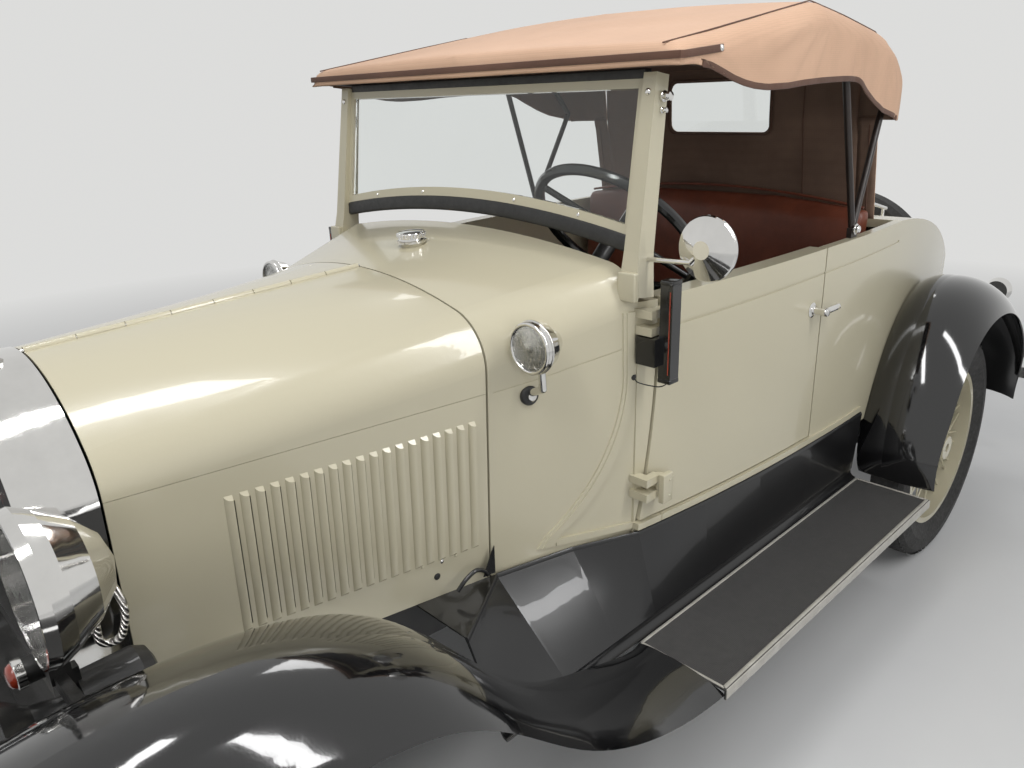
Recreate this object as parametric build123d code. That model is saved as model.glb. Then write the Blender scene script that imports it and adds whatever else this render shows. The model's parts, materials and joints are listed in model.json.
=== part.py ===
from build123d import *
import math
import os

os.makedirs("parts", exist_ok=True)

# Millimetres. +X is the car's left, the front points to -Y, +Z is up, the floor is Z = 0.
# Lengths along the car are told as distances behind the front axle.

# Driving dimensions of the whole car
wheelbase = 2629.0
track = 1422.0
front_overhang = 500.0
rear_overhang = 840.0
half_overall_width = 851.0

# Wheels and tyres
tyre_radius = 381.0
tyre_width = 114.0
rim_radius = 268.0
rim_width = 78.0
hub_radius = 62.0
hub_outer_offset = 52.0
spindle_radius = 15.0
running_fit = 0.05
drum_radius = 150.0
drum_width = 44.0
drum_inner_offset = 50.0
spoke_radius = 3.2
spoke_pairs = 15

# Chassis
rail_top = 552.0
rail_depth = 96.0
rail_flange = 44.0
rail_metal = 5.0
axle_half_height = 30.0
king_pin_inset = 100.0
king_pin_radius = 10.0

# Gaps and sheets
seat_gap = 0.3
sheet = 4.0

# Body shell
body_bottom = rail_top + seat_gap + sheet + seat_gap
wall = 25.0
panel_gap = 5.0
seam_gap = 0.5

# Hood and cowl, distances and half widths
shell_front = 78.0
shell_rear = 190.0
hood_rear = 883.0
cowl_rear = 1195.0
door_front = 1250.0
door_rear = 1900.0
deck_front = 2400.0
tail_end = 3285.0

# Running boards and fenders
board_front = 1115.0
board_rear = 2232.0
board_inner = 627.0
board_top = 371.0
board_thickness = 24.0
fender_metal = 4.0

# Windshield
screen_foot = (1195.0, 1140.0)
screen_lean = 8.1
screen_half_width = 514.0 - seat_gap
screen_height = 424.0
screen_bottom = 118.0
screen_arch = 46.0
glass_thickness = 6.0

# Steering
steering_wheel_radius = 222.0
steering_wheel_x = 320.0
steering_wheel_distance = 1400.0
steering_wheel_z = 1225.0
column_slope = 42.0

# Derived places
overall_length = front_overhang + wheelbase + rear_overhang
front_axle_y = front_overhang - overall_length / 2
half_track = track / 2
king_pin_x = half_track - king_pin_inset


def along(distance):
    """Y of a place told as a distance behind the front axle."""
    return front_axle_y + distance


def save(name, *solids):
    """Write one node, of one or several solids that don't touch."""
    flat = []
    for item in solids:
        flat.extend(item.solids())
    shape = flat[0] if len(flat) == 1 else Compound(children=flat)
    shape.label = name
    export_step(shape, f"parts/{name}.step")


def both_sides(shape):
    """The left piece and its mirror image."""
    return [shape, mirror(shape, about=Plane.YZ)]


def block(x_range, distance_range, z_range):
    """An upright box from its ranges."""
    low = (x_range[0], along(distance_range[0]), z_range[0])
    size = (
        x_range[1] - x_range[0],
        distance_range[1] - distance_range[0],
        z_range[1] - z_range[0],
    )
    return Solid.make_box(*size, Plane(origin=low))


def rod(start, end, radius):
    """A round bar between two points."""
    a = Vector(*start)
    b = Vector(*end)
    return Solid.make_cylinder(radius, (b - a).length, Plane(origin=a, z_dir=b - a))


def flat_sided_rod(start, end, radius):
    """A thin six sided bar between two points."""
    a = Vector(*start)
    b = Vector(*end)
    plane = Plane(origin=a, z_dir=b - a)
    corners = []
    for index in range(6):
        turn = math.radians(60 * index)
        corners.append(plane.from_local_coords(Vector(radius * math.cos(turn), radius * math.sin(turn), 0)))
    return Solid.extrude(Face(Wire.make_polygon(corners, close=True)), b - a)


def bar_chain(points, radius):
    """Round bars through points, with balls at the turns."""
    shape = rod(points[0], points[1], radius)
    for a, b in zip(points[1:], points[2:]):
        shape = shape + rod(a, b, radius) + Pos(*a) * Sphere(radius)
    return shape


def outline(start, steps, place):
    """Closed wire of lines and arcs: a step of one point is a line, of two an arc through the first."""
    edges = []
    here = start
    for step in steps:
        if len(step) == 1:
            edges.append(Edge.make_line(place(*here), place(*step[0])))
        else:
            edges.append(Edge.make_three_point_arc(place(*here), place(*step[0]), place(*step[1])))
        here = step[-1]
    if math.dist(here, start) > 0.001:
        edges.append(Edge.make_line(place(*here), place(*start)))
    return Wire(edges)


def lines(*points):
    """Steps of an outline that are all lines."""
    return [(point,) for point in points]


def on_side(x):
    """Places (distance, z) on the plane at x."""
    return lambda distance, z: (x, along(distance), z)


def on_cross(distance):
    """Places (x, z) on the plane across the car."""
    return lambda x, z: (x, along(distance), z)


def on_plan(z):
    """Places (x, distance) on the level plane at z."""
    return lambda x, distance: (x, along(distance), z)


def side_prism(start, steps, x_range):
    """A side view outline stretched across the car."""
    face = Face(outline(start, steps, on_side(x_range[0])))
    return Solid.extrude(face, Vector(x_range[1] - x_range[0], 0, 0))


def cross_prism(start, steps, distance_range):
    """A front view outline stretched along the car."""
    face = Face(outline(start, steps, on_cross(distance_range[0])))
    return Solid.extrude(face, Vector(0, distance_range[1] - distance_range[0], 0))


def plan_prism(start, steps, z_range):
    """A plan view outline stretched upwards."""
    face = Face(outline(start, steps, on_plan(z_range[0])))
    return Solid.extrude(face, Vector(0, 0, z_range[1] - z_range[0]))


def turned_across(points, distance, z):
    """A ring or disc turned about an axis across the car, from (x, radius) points."""
    face = Face(outline(points[0], lines(*points[1:]), lambda x, r: (x, along(distance), z + r)))
    return revolve(face, Axis((0, along(distance), z), (1, 0, 0)))


def turned_lengthwise(points, x, z):
    """A lamp or cap turned about an axis along the car, from (distance, radius) points."""
    face = Face(outline(points[0], lines(*points[1:]), lambda d, r: (x, along(d), z + r)))
    return revolve(face, Axis((x, 0, z), (0, 1, 0)))


# Hood and cowl cross-sections
# Columns: distance, half width, top, crown radius, corner radius, half width at the foot
SHELL_SECTION = (shell_rear, 280.0, 1152.0, 330.0, 120.0, 268.0)
HOOD_SECTION = (hood_rear, 417.0, 1188.0, 1200.0, 115.0, 401.0)
COWL_SECTION = (cowl_rear, 545.0, 1243.0, 2800.0, 95.0, 538.0)


def between(first, second, distance):
    """A section between two others."""
    share = (distance - first[0]) / (second[0] - first[0])
    return tuple(a + (b - a) * share for a, b in zip(first, second))


def arch_wire(section, inset, foot_z):
    """An inverted U of crown arc, corner arcs and sides, set in by a thickness."""
    distance, half, top, crown, corner, foot = section
    w = half - inset
    top = top - inset
    crown = crown - inset
    corner = corner - inset
    corner_x = w - corner
    crown_z = top - crown
    corner_z = crown_z + math.sqrt((crown - corner) ** 2 - corner_x**2)
    scale = crown / (crown - corner)
    meet = (corner_x * scale, crown_z + (corner_z - crown_z) * scale)
    turn = math.atan2(meet[1] - corner_z, meet[0] - corner_x) / 2
    middle = (corner_x + corner * math.cos(turn), corner_z + corner * math.sin(turn))
    steps = [
        ((w, corner_z),),
        (middle, meet),
        ((0.0, top), (-meet[0], meet[1])),
        ((-middle[0], middle[1]), (-w, corner_z)),
        ((-(foot - inset), foot_z),),
    ]
    return outline((foot - inset, foot_z), steps, on_cross(distance))


def arch_loft(first, second, inset, foot_z):
    """A solid between two sections."""
    return Solid.make_loft([arch_wire(first, inset, foot_z), arch_wire(second, inset, foot_z)], True)


# Body plan and side view
PLAN_STEPS = [
    ((596.0, 1580.0), (612.0, 1905.0)),
    ((596.0, 2540.0), (500.0, 3150.0)),
    ((445.0, 3252.0), (330.0, tail_end)),
    ((-330.0, tail_end),),
    ((-445.0, 3252.0), (-500.0, 3150.0)),
    ((-596.0, 2540.0), (-612.0, 1905.0)),
    ((-596.0, 1580.0), (-554.0, cowl_rear + 2)),
]
PLAN_START = (554.0, cowl_rear + 2)
BELT_FRONT_Z = 1131.0
BELT_REAR_Z = 1153.0


def body_plan(inset, z_range):
    """The body's plan outline, set in by a wall, stretched upwards."""
    face = Face(outline(PLAN_START, PLAN_STEPS, on_plan(z_range[0])))
    if inset != 0:
        face = offset(face, amount=-inset, kind=Kind.INTERSECTION).face()
    return Solid.extrude(face, Vector(0, 0, z_range[1] - z_range[0]))


def body_side(inset, bottom):
    """The body's side view: belt line, deck and tail."""
    start = (cowl_rear, bottom)
    steps = [
        ((cowl_rear, BELT_FRONT_Z - inset),),
        ((deck_front, BELT_REAR_Z - inset),),
        ((2790.0, 1091.0 - inset), (3100.0 - inset * 0.3, 968.0 - inset)),
        ((3228.0 - inset, 858.0 - inset), (tail_end - inset, 690.0 - inset)),
        ((tail_end - inset, bottom),),
    ]
    return side_prism(start, steps, (-half_overall_width, half_overall_width))


def arc_value(points, distance):
    """Value at a distance on the arc through three (value, distance) points."""
    (ax, ay), (bx, by), (cx, cy) = points
    d = 2 * (ax * (by - cy) + bx * (cy - ay) + cx * (ay - by))
    a2 = ax**2 + ay**2
    b2 = bx**2 + by**2
    c2 = cx**2 + cy**2
    ux = (a2 * (by - cy) + b2 * (cy - ay) + c2 * (ay - by)) / d
    uy = (a2 * (cx - bx) + b2 * (ax - cx) + c2 * (bx - ax)) / d
    radius = math.hypot(ax - ux, ay - uy)
    return ux + math.sqrt(radius**2 - (distance - uy) ** 2)


def body_half_width(distance):
    """Half width of the body's side at a distance."""
    if distance < PLAN_STEPS[0][1][1]:
        return arc_value([PLAN_START, *PLAN_STEPS[0]], distance)
    return arc_value([PLAN_STEPS[0][1], *PLAN_STEPS[1]], distance)


# Chassis pieces
# Columns: half width of the rail's outer face, distance
RAIL_PLAN = [(318.0, 28.0), (338.0, 500.0), (385.0, 1150.0), (395.0, 2642.0)]


def frame_rail():
    """One channel section side rail, open to the inside."""
    def band(width, z_range):
        inner = [(x - width, d) for x, d in reversed(RAIL_PLAN)]
        return plan_prism(RAIL_PLAN[0], lines(*RAIL_PLAN[1:], *inner), z_range)

    rail_bottom = rail_top - rail_depth
    web = band(rail_metal, (rail_bottom, rail_top))
    top = band(rail_flange, (rail_top - rail_metal, rail_top))
    bottom = band(rail_flange, (rail_bottom, rail_bottom + rail_metal))
    return web + top + bottom


def make_frame():
    """Rails, crossmembers, board brackets and the spare wheel's carrier, as one riveted frame."""
    shape = frame_rail()
    shape = shape + mirror(shape, about=Plane.YZ)
    shape += block((-316, 316), (-50, 50), (rail_top - 34, rail_top))
    shape += block((-316, 316), (40, shell_rear - 5), (rail_top - 10, body_bottom - seat_gap))
    shape += block((-380, 380), (1290, 1350), (rail_top - rail_depth, rail_top - rail_depth + 40))
    shape += rear_crossmember()
    for distance in (1250.0, 2080.0):
        for side in (1, -1):
            bracket = side_plate(distance)
            shape += bracket if side == 1 else mirror(bracket, about=Plane.YZ)
    for side in (1, -1):
        x_range = sorted((side * 300, side * 330))
        shape += block(x_range, (2724, 3330), (500, rail_top))
        shape += block(sorted((side * 270, side * 316)), (-430, -48), (470, 500))
        shape += block(sorted((side * 270, side * 316)), (-66, -48), (470, rail_top))
    shape += spare_carrier()
    return shape


def side_plate(distance):
    """A board bracket, from the rail out to the board's outer edge."""
    start = (380.0, 500.0)
    bottom = board_top - board_thickness - seat_gap
    steps = lines((400.0, 500.0), (618.0, bottom), (830.0, bottom), (830.0, bottom - 10), (608.0, bottom - 12), (380.0, 456.0))
    return cross_prism(start, steps, (distance - 20, distance + 20))


def rear_crossmember():
    """The rear spring's arch, a channel open downwards and at both ends."""
    def arch(inset, distance_range):
        start = (-430.0 - inset, 500.0 - inset)
        steps = lines(
            (-430.0 - inset, 560.0 - inset),
            (-300.0, 612.0 - inset),
            (300.0, 612.0 - inset),
            (430.0 + inset, 560.0 - inset),
            (430.0 + inset, 500.0 - inset),
            (300.0, 552.0 - inset),
            (-300.0, 552.0 - inset),
        )
        return cross_prism(start, steps, distance_range)

    solid = arch(0, (2640, 2730))
    return solid - arch(8, (2648, 2722))


SPARE_DISTANCE = 3400.0
SPARE_Z = 735.0


def spare_carrier():
    """The arm that holds the spare wheel behind the tail."""
    shape = block((-330, 330), (3300, 3330), (505, 545))
    shape += block((-30, 30), (3316, 3330), (505, SPARE_Z))
    shape += rod((0, along(3316), SPARE_Z), (0, along(SPARE_DISTANCE - 30 - seat_gap), SPARE_Z), 40)
    return shape


def leaf_spring(distance, width, end_x, end_z, centre_z, thickness):
    """A transverse spring: a bowed pack, thick at its middle and thin at its eyes."""
    start = (-end_x, end_z)
    steps = [
        ((0.0, centre_z), (end_x, end_z)),
        ((end_x, end_z - 8.0),),
        ((end_x * 0.45, centre_z - 26.0 - thickness * 0.6), (70.0, centre_z - thickness)),
        ((-70.0, centre_z - thickness),),
        ((-end_x * 0.45, centre_z - 26.0 - thickness * 0.6), (-end_x, end_z - 8.0)),
    ]
    return cross_prism(start, steps, (distance - width / 2, distance + width / 2))


AXLE_DROP_Z = 338.0
PERCH_X = 470.0


def beam_line(offset_up):
    """The front beam's line in front view, moved up or down."""
    end = king_pin_x
    return [
        (-end, tyre_radius + offset_up),
        (-end + 70, tyre_radius - 6 + offset_up),
        (-PERCH_X - 20, AXLE_DROP_Z + offset_up),
        (PERCH_X + 20, AXLE_DROP_Z + offset_up),
        (end - 70, tyre_radius - 6 + offset_up),
        (end, tyre_radius + offset_up),
    ]


def make_front_axle():
    """Forged beam of I section with its spring, spring perches and wishbone."""
    def band(low, high, half_depth):
        points = beam_line(high) + list(reversed(beam_line(low)))
        return cross_prism(points[0], lines(*points[1:]), (-half_depth, half_depth))

    shape = band(-axle_half_height, axle_half_height, 6)
    shape += band(axle_half_height - 9, axle_half_height, 22)
    shape += band(-axle_half_height, -axle_half_height + 9, 22)
    for side in (1, -1):
        x = side * king_pin_x
        shape += rod((x, along(0), tyre_radius - 36), (x, along(0), tyre_radius + 36), 25)
        perch = side * PERCH_X
        shape += rod((perch, along(0), AXLE_DROP_Z + 20), (perch, along(0), 432), 14)
        shape += rod((perch, along(0), AXLE_DROP_Z - 20), (0, along(1180), 400 - 30 - seat_gap), 15)
    shape += leaf_spring(0, 44, PERCH_X + 14, 432, rail_top - 34 - seat_gap, 48)
    shape += Pos(0, along(1180), 400 - 30 - seat_gap) * Sphere(30)
    bore = king_pin_radius + running_fit
    for side in (1, -1):
        x = side * king_pin_x
        shape -= rod((x, along(0), tyre_radius - 60), (x, along(0), tyre_radius + 60), bore)
    return shape


def make_knuckle():
    """Left steering knuckle: fork, king pin, spindle, steering arm and brake plate."""
    x = king_pin_x
    y = along(0)
    z = tyre_radius
    plate_x = half_track - drum_inner_offset - 4
    shape = rod((x, y, z - 58), (x, y, z + 58), king_pin_radius)
    for z_range in ((z - 58, z - 37), (z + 37, z + 58)):
        shape += rod((x, y, z_range[0]), (x, y, z_range[1]), 25)
        shape += block((x, x + 40), (-22, 22), z_range)
    shape += block((x + 26, plate_x - 1), (-22, 22), (z - 58, z + 58))
    shape += rod((x + 26, y, z), (half_track + hub_outer_offset - 8, y, z), spindle_radius)
    shape += rod((plate_x - 4, y, z), (plate_x, y, z), drum_radius)
    arm = lines((plate_x - 1, -22), (plate_x - 1, 34), (x + 13, TIE_ROD_DISTANCE), (x - 13, TIE_ROD_DISTANCE), (x + 26, 44))
    shape += plan_prism((x + 26, -22), arm, (z - 20, z - 8))
    shape += rod((x, along(TIE_ROD_DISTANCE), z - 20), (x, along(TIE_ROD_DISTANCE), z - 8), 18)
    shape += rod((x, along(TIE_ROD_DISTANCE), z - 20), (x, along(TIE_ROD_DISTANCE), z + 24), 8)
    return shape


TIE_ROD_DISTANCE = 140.0


def make_tie_rod():
    """The rod behind the axle that joins the two steering arms."""
    y = along(TIE_ROD_DISTANCE)
    z_range = (tyre_radius - 8 + seat_gap, tyre_radius + 16)
    middle = (z_range[0] + z_range[1]) / 2
    shape = rod((-king_pin_x, y, middle), (king_pin_x, y, middle), 10)
    for side in (1, -1):
        x = side * king_pin_x
        shape += rod((x, y, z_range[0]), (x, y, z_range[1]), 17)
    shape -= rod((king_pin_x, y, 200), (king_pin_x, y, 400), 8 + running_fit)
    return shape - rod((-king_pin_x, y, 200), (-king_pin_x, y, 400), 8 + seat_gap)


def make_rear_axle():
    """Banjo housing with tubes, torque tube, radius rods, brake plates and the rear spring."""
    z = tyre_radius
    inner = half_track - drum_inner_offset - 8
    profile = [
        (-inner, 0), (-inner, 34), (-300, 42), (-130, 70), (-70, 128), (70, 128),
        (130, 70), (300, 42), (inner, 34), (inner, 0),
    ]
    shape = turned_across(profile, wheelbase, z)
    for side in (1, -1):
        tip = side * (half_track + hub_outer_offset - 8)
        shape += rod((side * inner, along(wheelbase), z), (tip, along(wheelbase), z), spindle_radius)
        plate = sorted((side * (inner - 4), side * inner))
        shape += rod((plate[0], along(wheelbase), z), (plate[1], along(wheelbase), z), drum_radius)
        perch = side * 570
        shape += block(sorted((perch - 12, perch + 12)), (wheelbase, 2706), (z + 10, z + 40))
        shape += rod((perch, along(2685), z + 20), (perch, along(2685), 452), 12)
        shape += rod((perch, along(wheelbase), z), (side * 60, along(1500), 372), 12)
    shape += rod((0, along(1370), 400), (0, along(wheelbase - 60), z), 38)
    shape += leaf_spring(2685, 50, 580, 452, 604 - seat_gap, 60)
    return shape


def make_engine():
    """Engine and gearbox as one plain block with its rear mounting arms."""
    shape = block((-150, 150), (230, 830), (400, 1010))
    shape += block((-110, 110), (830, 1285), (400, body_bottom - 6))
    for side in (1, -1):
        arm = sorted((side * 140, side * (340 - rail_metal - seat_gap)))
        shape += block(arm, (760, 800), (rail_top - rail_depth + rail_metal + seat_gap, 500))
    return shape


def make_exhaust():
    """Down pipe, silencer and tail pipe on the right."""
    x = -250.0
    z = 295.0
    route = [(-150 - seat_gap, along(700), 600), (x, along(700), 600), (x, along(700), z), (x, along(3000), z)]
    shape = bar_chain(route + [(x, along(3240), z + 60)], 22)
    return shape + rod((x, along(1480), z), (x, along(2080), z), 62)


def make_radiator_shell():
    """Bright shell round the radiator, open at the front and hollow behind, with its cap."""
    front = (shell_front,) + SHELL_SECTION[1:]
    outer = arch_loft(front, SHELL_SECTION, -3.0, body_bottom)
    opening = arch_loft((shell_front - 5,) + SHELL_SECTION[1:], SHELL_SECTION, 62.0, body_bottom + 60)
    inside = arch_loft((shell_front + 8,) + SHELL_SECTION[1:], (shell_rear + 5,) + SHELL_SECTION[1:], 2.0, body_bottom + 4)
    cap = rod((0, along(130), 1151), (0, along(130), 1168), 26)
    cap += rod((0, along(130), 1168), (0, along(130), 1184), 34)
    return outer - opening - inside + cap


def make_radiator_core():
    """Radiator core with its tanks, seated behind the shell's front lip."""
    front = (shell_front + 8 + seat_gap,) + SHELL_SECTION[1:]
    rear = (shell_rear - 12,) + SHELL_SECTION[1:]
    return arch_loft(front, rear, 6.0, body_bottom + 6)


def seam_z(distance):
    """Height of the hood's side seam."""
    return 962.0 + (distance - 193.0) * 21.0 / 691.0


HOOD_FRONT = shell_rear + panel_gap
HOOD_BACK = hood_rear - panel_gap
SEAM_BARREL = 3.5
SEAM_PIN = 1.6
SEAM_DEPTH = 6.0


def hood_skin_x(distance, z):
    """Half width of the hood's outer face at a place below its shoulder."""
    _, half, top, crown, corner, foot = between(SHELL_SECTION, HOOD_SECTION, distance)
    corner_z = top - crown + math.sqrt((crown - corner) ** 2 - (half - corner) ** 2)
    return half - (half - foot) * max(0.0, corner_z - z) / (corner_z - body_bottom)


def seam_axis(distance, overrun):
    """Place on the side seam's hinge line, which lies inside the hood's skin."""
    ends = []
    for d in (HOOD_FRONT, HOOD_BACK):
        ends.append((hood_skin_x(d, seam_z(d)) - SEAM_DEPTH, along(d), seam_z(d)))
    share = (distance + overrun - HOOD_FRONT) / (HOOD_BACK - HOOD_FRONT)
    return tuple(a + (b - a) * share for a, b in zip(*ends))


def seam_barrels(first, grow):
    """Every other barrel of the left side seam's hinge, grown by a gap."""
    count = 8
    pitch = (HOOD_BACK - HOOD_FRONT) / count
    barrels = []
    for index in range(first, count, 2):
        near = seam_axis(HOOD_FRONT + index * pitch, 1 - grow)
        far = seam_axis(HOOD_FRONT + (index + 1) * pitch, -1 + grow)
        barrels.append(rod(near, far, SEAM_BARREL + grow))
    return barrels


def seam_pin(radius):
    """The pin through the left side seam's barrels."""
    return rod(seam_axis(HOOD_FRONT, 1), seam_axis(HOOD_BACK, -1), radius)


def hood_shell():
    """The hood's whole skin."""
    first = between(SHELL_SECTION, HOOD_SECTION, HOOD_FRONT)
    second = between(SHELL_SECTION, HOOD_SECTION, HOOD_BACK)
    return arch_loft(first, second, 0, body_bottom) - arch_loft(first, second, sheet, body_bottom - 1)


def hood_hinge_z(distance):
    """Height of the hood's centre hinge."""
    return SHELL_SECTION[2] + (distance - shell_rear) * (HOOD_SECTION[2] - SHELL_SECTION[2]) / (hood_rear - shell_rear)


HINGE_ROD = 4.0
HINGE_BARREL = 7.5


def make_hood_rod():
    """The hinge rod along the hood's centre line, held at both ends."""
    ends = [(0, along(d), hood_hinge_z(d)) for d in (shell_rear + seat_gap + 0.3, hood_rear - seat_gap)]
    return rod(*ends, HINGE_ROD)


def make_hood_top():
    """Left top half of the hood with its hinge barrels."""
    above = side_prism(
        (HOOD_FRONT - 10, seam_z(HOOD_FRONT - 10) + seam_gap),
        lines((HOOD_BACK + 10, seam_z(HOOD_BACK + 10) + seam_gap), (HOOD_BACK + 10, 1400), (HOOD_FRONT - 10, 1400)),
        (HINGE_BARREL - 2, 600),
    )
    shape = hood_shell() & above
    shape = shape - seam_barrels(1, 0.6)
    return shape + seam_barrels(0, 0) + [seam_pin(SEAM_PIN)]


def hood_barrels(first, grow):
    """Every other barrel of the centre hinge, grown by a gap."""
    count = 8
    pitch = (HOOD_BACK - HOOD_FRONT) / count
    shape = None
    for index in range(first, count, 2):
        ends = (HOOD_FRONT + index * pitch + 1 - grow, HOOD_FRONT + (index + 1) * pitch - 1 + grow)
        a, b = [(0, along(d), hood_hinge_z(d)) for d in ends]
        barrel = rod(a, b, HINGE_BARREL + grow)
        shape = barrel if shape is None else shape + barrel
    return shape


def make_hood_side():
    """Left side panel of the hood."""
    below = side_prism(
        (HOOD_FRONT - 10, seam_z(HOOD_FRONT - 10) - seam_gap),
        lines((HOOD_BACK + 10, seam_z(HOOD_BACK + 10) - seam_gap), (HOOD_BACK + 10, 500), (HOOD_FRONT - 10, 500)),
        (0, 600),
    )
    shape = hood_shell() & below
    shape = shape - seam_barrels(0, 0.6)
    shape = shape + seam_barrels(1, 0)
    shape = shape - seam_pin(SEAM_PIN + seat_gap)
    louvres, slits = hood_louvres()
    return shape + louvres - slits


# Louvres of the hood's sides
LOUVRE_COUNT = 19
LOUVRE_FIRST = 376.0
LOUVRE_PITCH = 26.0
LOUVRE_FOOT_Z = 640.0
LOUVRE_HEAD_DROP = 48.0
LOUVRE_HALF_WIDTH = 9.0
LOUVRE_RISE = 7.0
LOUVRE_SLIT = 4.6


def louvre_plane(distance):
    """Plane on the hood's skin at a louvre's foot: X rearwards, Y up, and its length."""
    head_z = seam_z(distance) - LOUVRE_HEAD_DROP
    foot = Vector(hood_skin_x(distance, LOUVRE_FOOT_Z), along(distance), LOUVRE_FOOT_Z)
    head = Vector(hood_skin_x(distance, head_z), along(distance), head_z)
    ahead = Vector(hood_skin_x(distance + 10, LOUVRE_FOOT_Z), along(distance + 10), LOUVRE_FOOT_Z)
    up = (head - foot).normalized()
    normal = up.cross(ahead - foot).normalized() * -1
    return Plane(origin=foot, x_dir=up.cross(normal), z_dir=normal), (head - foot).length


def hood_louvres():
    """Pressed louvres that open to the rear, and their slits."""
    louvres = []
    slits = []
    half = LOUVRE_HALF_WIDTH
    rise = LOUVRE_RISE
    for index in range(LOUVRE_COUNT):
        plane, length = louvre_plane(LOUVRE_FIRST + index * LOUVRE_PITCH)

        def place(x, out, y=0.0, plane=plane):
            return tuple(plane.from_local_coords(Vector(x, y, out)))

        steps = [((-half * 0.3, rise * 0.78), (half * 0.75, rise)), ((half * 0.75, -1.5),)]
        ridge = Solid.extrude(Face(outline((-half, -1.5), steps, place)), plane.y_dir * length)
        ends = lines((length, -2.0), (length - rise * 1.6, rise + 1), (rise * 1.6, rise + 1))
        side = Face(outline((0.0, -2.0), ends, lambda y, out: place(-half - 1, out, y)))
        louvres.append(ridge & Solid.extrude(side, plane.x_dir * (2 * half + 2)))
        corner = plane.from_local_coords(Vector(half * 0.1, rise * 2, -sheet - 2))
        size = (half, length - rise * 4, sheet + 2 + LOUVRE_SLIT)
        slits.append(Solid.make_box(*size, Plane(origin=corner, x_dir=plane.x_dir, z_dir=plane.z_dir)))
    return louvres, slits


def hinge_bore():
    """The bore of the centre hinge's barrels."""
    ends = [(0, along(d), hood_hinge_z(d)) for d in (HOOD_FRONT - 20, HOOD_BACK + 20)]
    return rod(*ends, HINGE_ROD + seat_gap)


def make_cowl():
    """Cowl with its firewall, door pillars and filler neck."""
    shape = arch_loft(HOOD_SECTION, COWL_SECTION, 0, body_bottom)
    inner = arch_loft((hood_rear - 1,) + HOOD_SECTION[1:], (cowl_rear + 1,) + COWL_SECTION[1:], wall, body_bottom - 1)
    shape = shape - inner
    firewall = arch_loft(HOOD_SECTION, between(HOOD_SECTION, COWL_SECTION, hood_rear + 6), wall - 1, 640)
    shape = shape + firewall
    for side in (1, -1):
        shape = shape + door_pillar(side)
    shape = shape + cowl_beads() - cowl_seam()
    shape = shape + rod((0, along(1037), 1190), (0, along(1037), 1222), 28)
    for post in make_posts():
        shape = shape - post
    return shape


# The coach bead's edges in side view, columns: distance, height
BEAD_FRONT = [(1160.0, 1110.0), (1165.0, 957.0), (1126.0, 795.0), (1000.0, 628.0)]
BEAD_REAR = [(1190.0, 1110.0), (1192.0, 957.0), (1158.0, 785.0), (1034.0, 618.0)]
BEAD_RISE = 6.0
SILL_BEAD = (597.0, 613.0)
SILL_BEAD_END = 2225.0


def cowl_beads():
    """The coach bead down the cowl's rear edge, rounded in two steps, and the sill bead behind it."""
    beads = []
    for share, rise in ((0.0, BEAD_RISE * 0.55), (0.22, BEAD_RISE)):
        front = [tuple(a + (b - a) * share for a, b in zip(f, r)) for f, r in zip(BEAD_FRONT, BEAD_REAR)]
        rear = [tuple(b + (a - b) * share for a, b in zip(f, r)) for f, r in zip(BEAD_FRONT, BEAD_REAR)]
        steps = [
            (front[1],), (front[2], front[3]),
            ((front[3][0] - 20, SILL_BEAD[0]),), ((rear[3][0] - 12, SILL_BEAD[0]),),
            (rear[3],), (rear[2], rear[1]), (rear[0],),
        ]
        band = side_prism(front[0], steps, (-700, 700))
        beads.append(band & arch_loft(HOOD_SECTION, COWL_SECTION, -rise, body_bottom))
    sill = arch_loft(HOOD_SECTION, COWL_SECTION, -BEAD_RISE, body_bottom)
    beads.append(sill & block((-700, 700), (BEAD_REAR[3][0] - 14, cowl_rear), SILL_BEAD))
    inner = arch_loft(
        (hood_rear - 1,) + HOOD_SECTION[1:], (cowl_rear + 1,) + COWL_SECTION[1:], wall - 2, body_bottom - 1
    )
    beads = [bead - inner for bead in beads]
    ring = body_plan(-BEAD_RISE, SILL_BEAD) - body_plan(20, (500, 700))
    inner_x = body_half_width(door_front - 20) - 24
    for side in (1, -1):
        x_range = sorted((side * inner_x, side * 700))
        beads.append(ring & block(x_range, (cowl_rear - 1, door_front + 19), SILL_BEAD))
    return beads


# The cowl's seam in side view, columns: distance, height
COWL_SEAM = [(893.0, 983.0), (991.0, 998.0), (1160.0, 1031.0)]


def cowl_seam():
    """A fine groove where the cowl's top and side panels meet."""
    low = [(d, z - 1.5) for d, z in COWL_SEAM]
    high = [(d, z + 1.5) for d, z in reversed(COWL_SEAM)]
    band = side_prism(low[0], lines(*low[1:], *high), (-700, 700))
    return band - arch_loft(
        (hood_rear - 1,) + HOOD_SECTION[1:], (cowl_rear + 1,) + COWL_SECTION[1:], 1.5, body_bottom - 1
    )


DOOR_BOTTOM = 619.0


def door_outline(grow):
    """Side view of the door, grown by a gap all round."""
    top = BELT_REAR_Z + 40
    start = (door_front - grow, top)
    steps = [
        ((door_front - grow, 1040.0),),
        ((door_front - 12 - grow, 840.0), (door_front - 46 - grow, DOOR_BOTTOM - grow)),
        ((door_rear + grow, DOOR_BOTTOM - grow),),
        ((door_rear + grow, top),),
    ]
    return start, steps


def door_pillar(side):
    """The panel between the cowl and the door, shaped to the door's front edge."""
    outer = [(COWL_SECTION[1], cowl_rear), (body_half_width(door_front + 20), door_front + 20)]
    inner = [(x - 45, d) for x, d in reversed(outer)]
    start = (side * outer[0][0], outer[0][1])
    steps = lines(*[(side * x, d) for x, d in outer[1:] + inner])
    shape = plan_prism(start, steps, (body_bottom, BELT_FRONT_Z - 3))
    door_start, door_steps = door_outline(panel_gap)
    return shape - side_prism(door_start, door_steps, (-700, 700))


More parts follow.
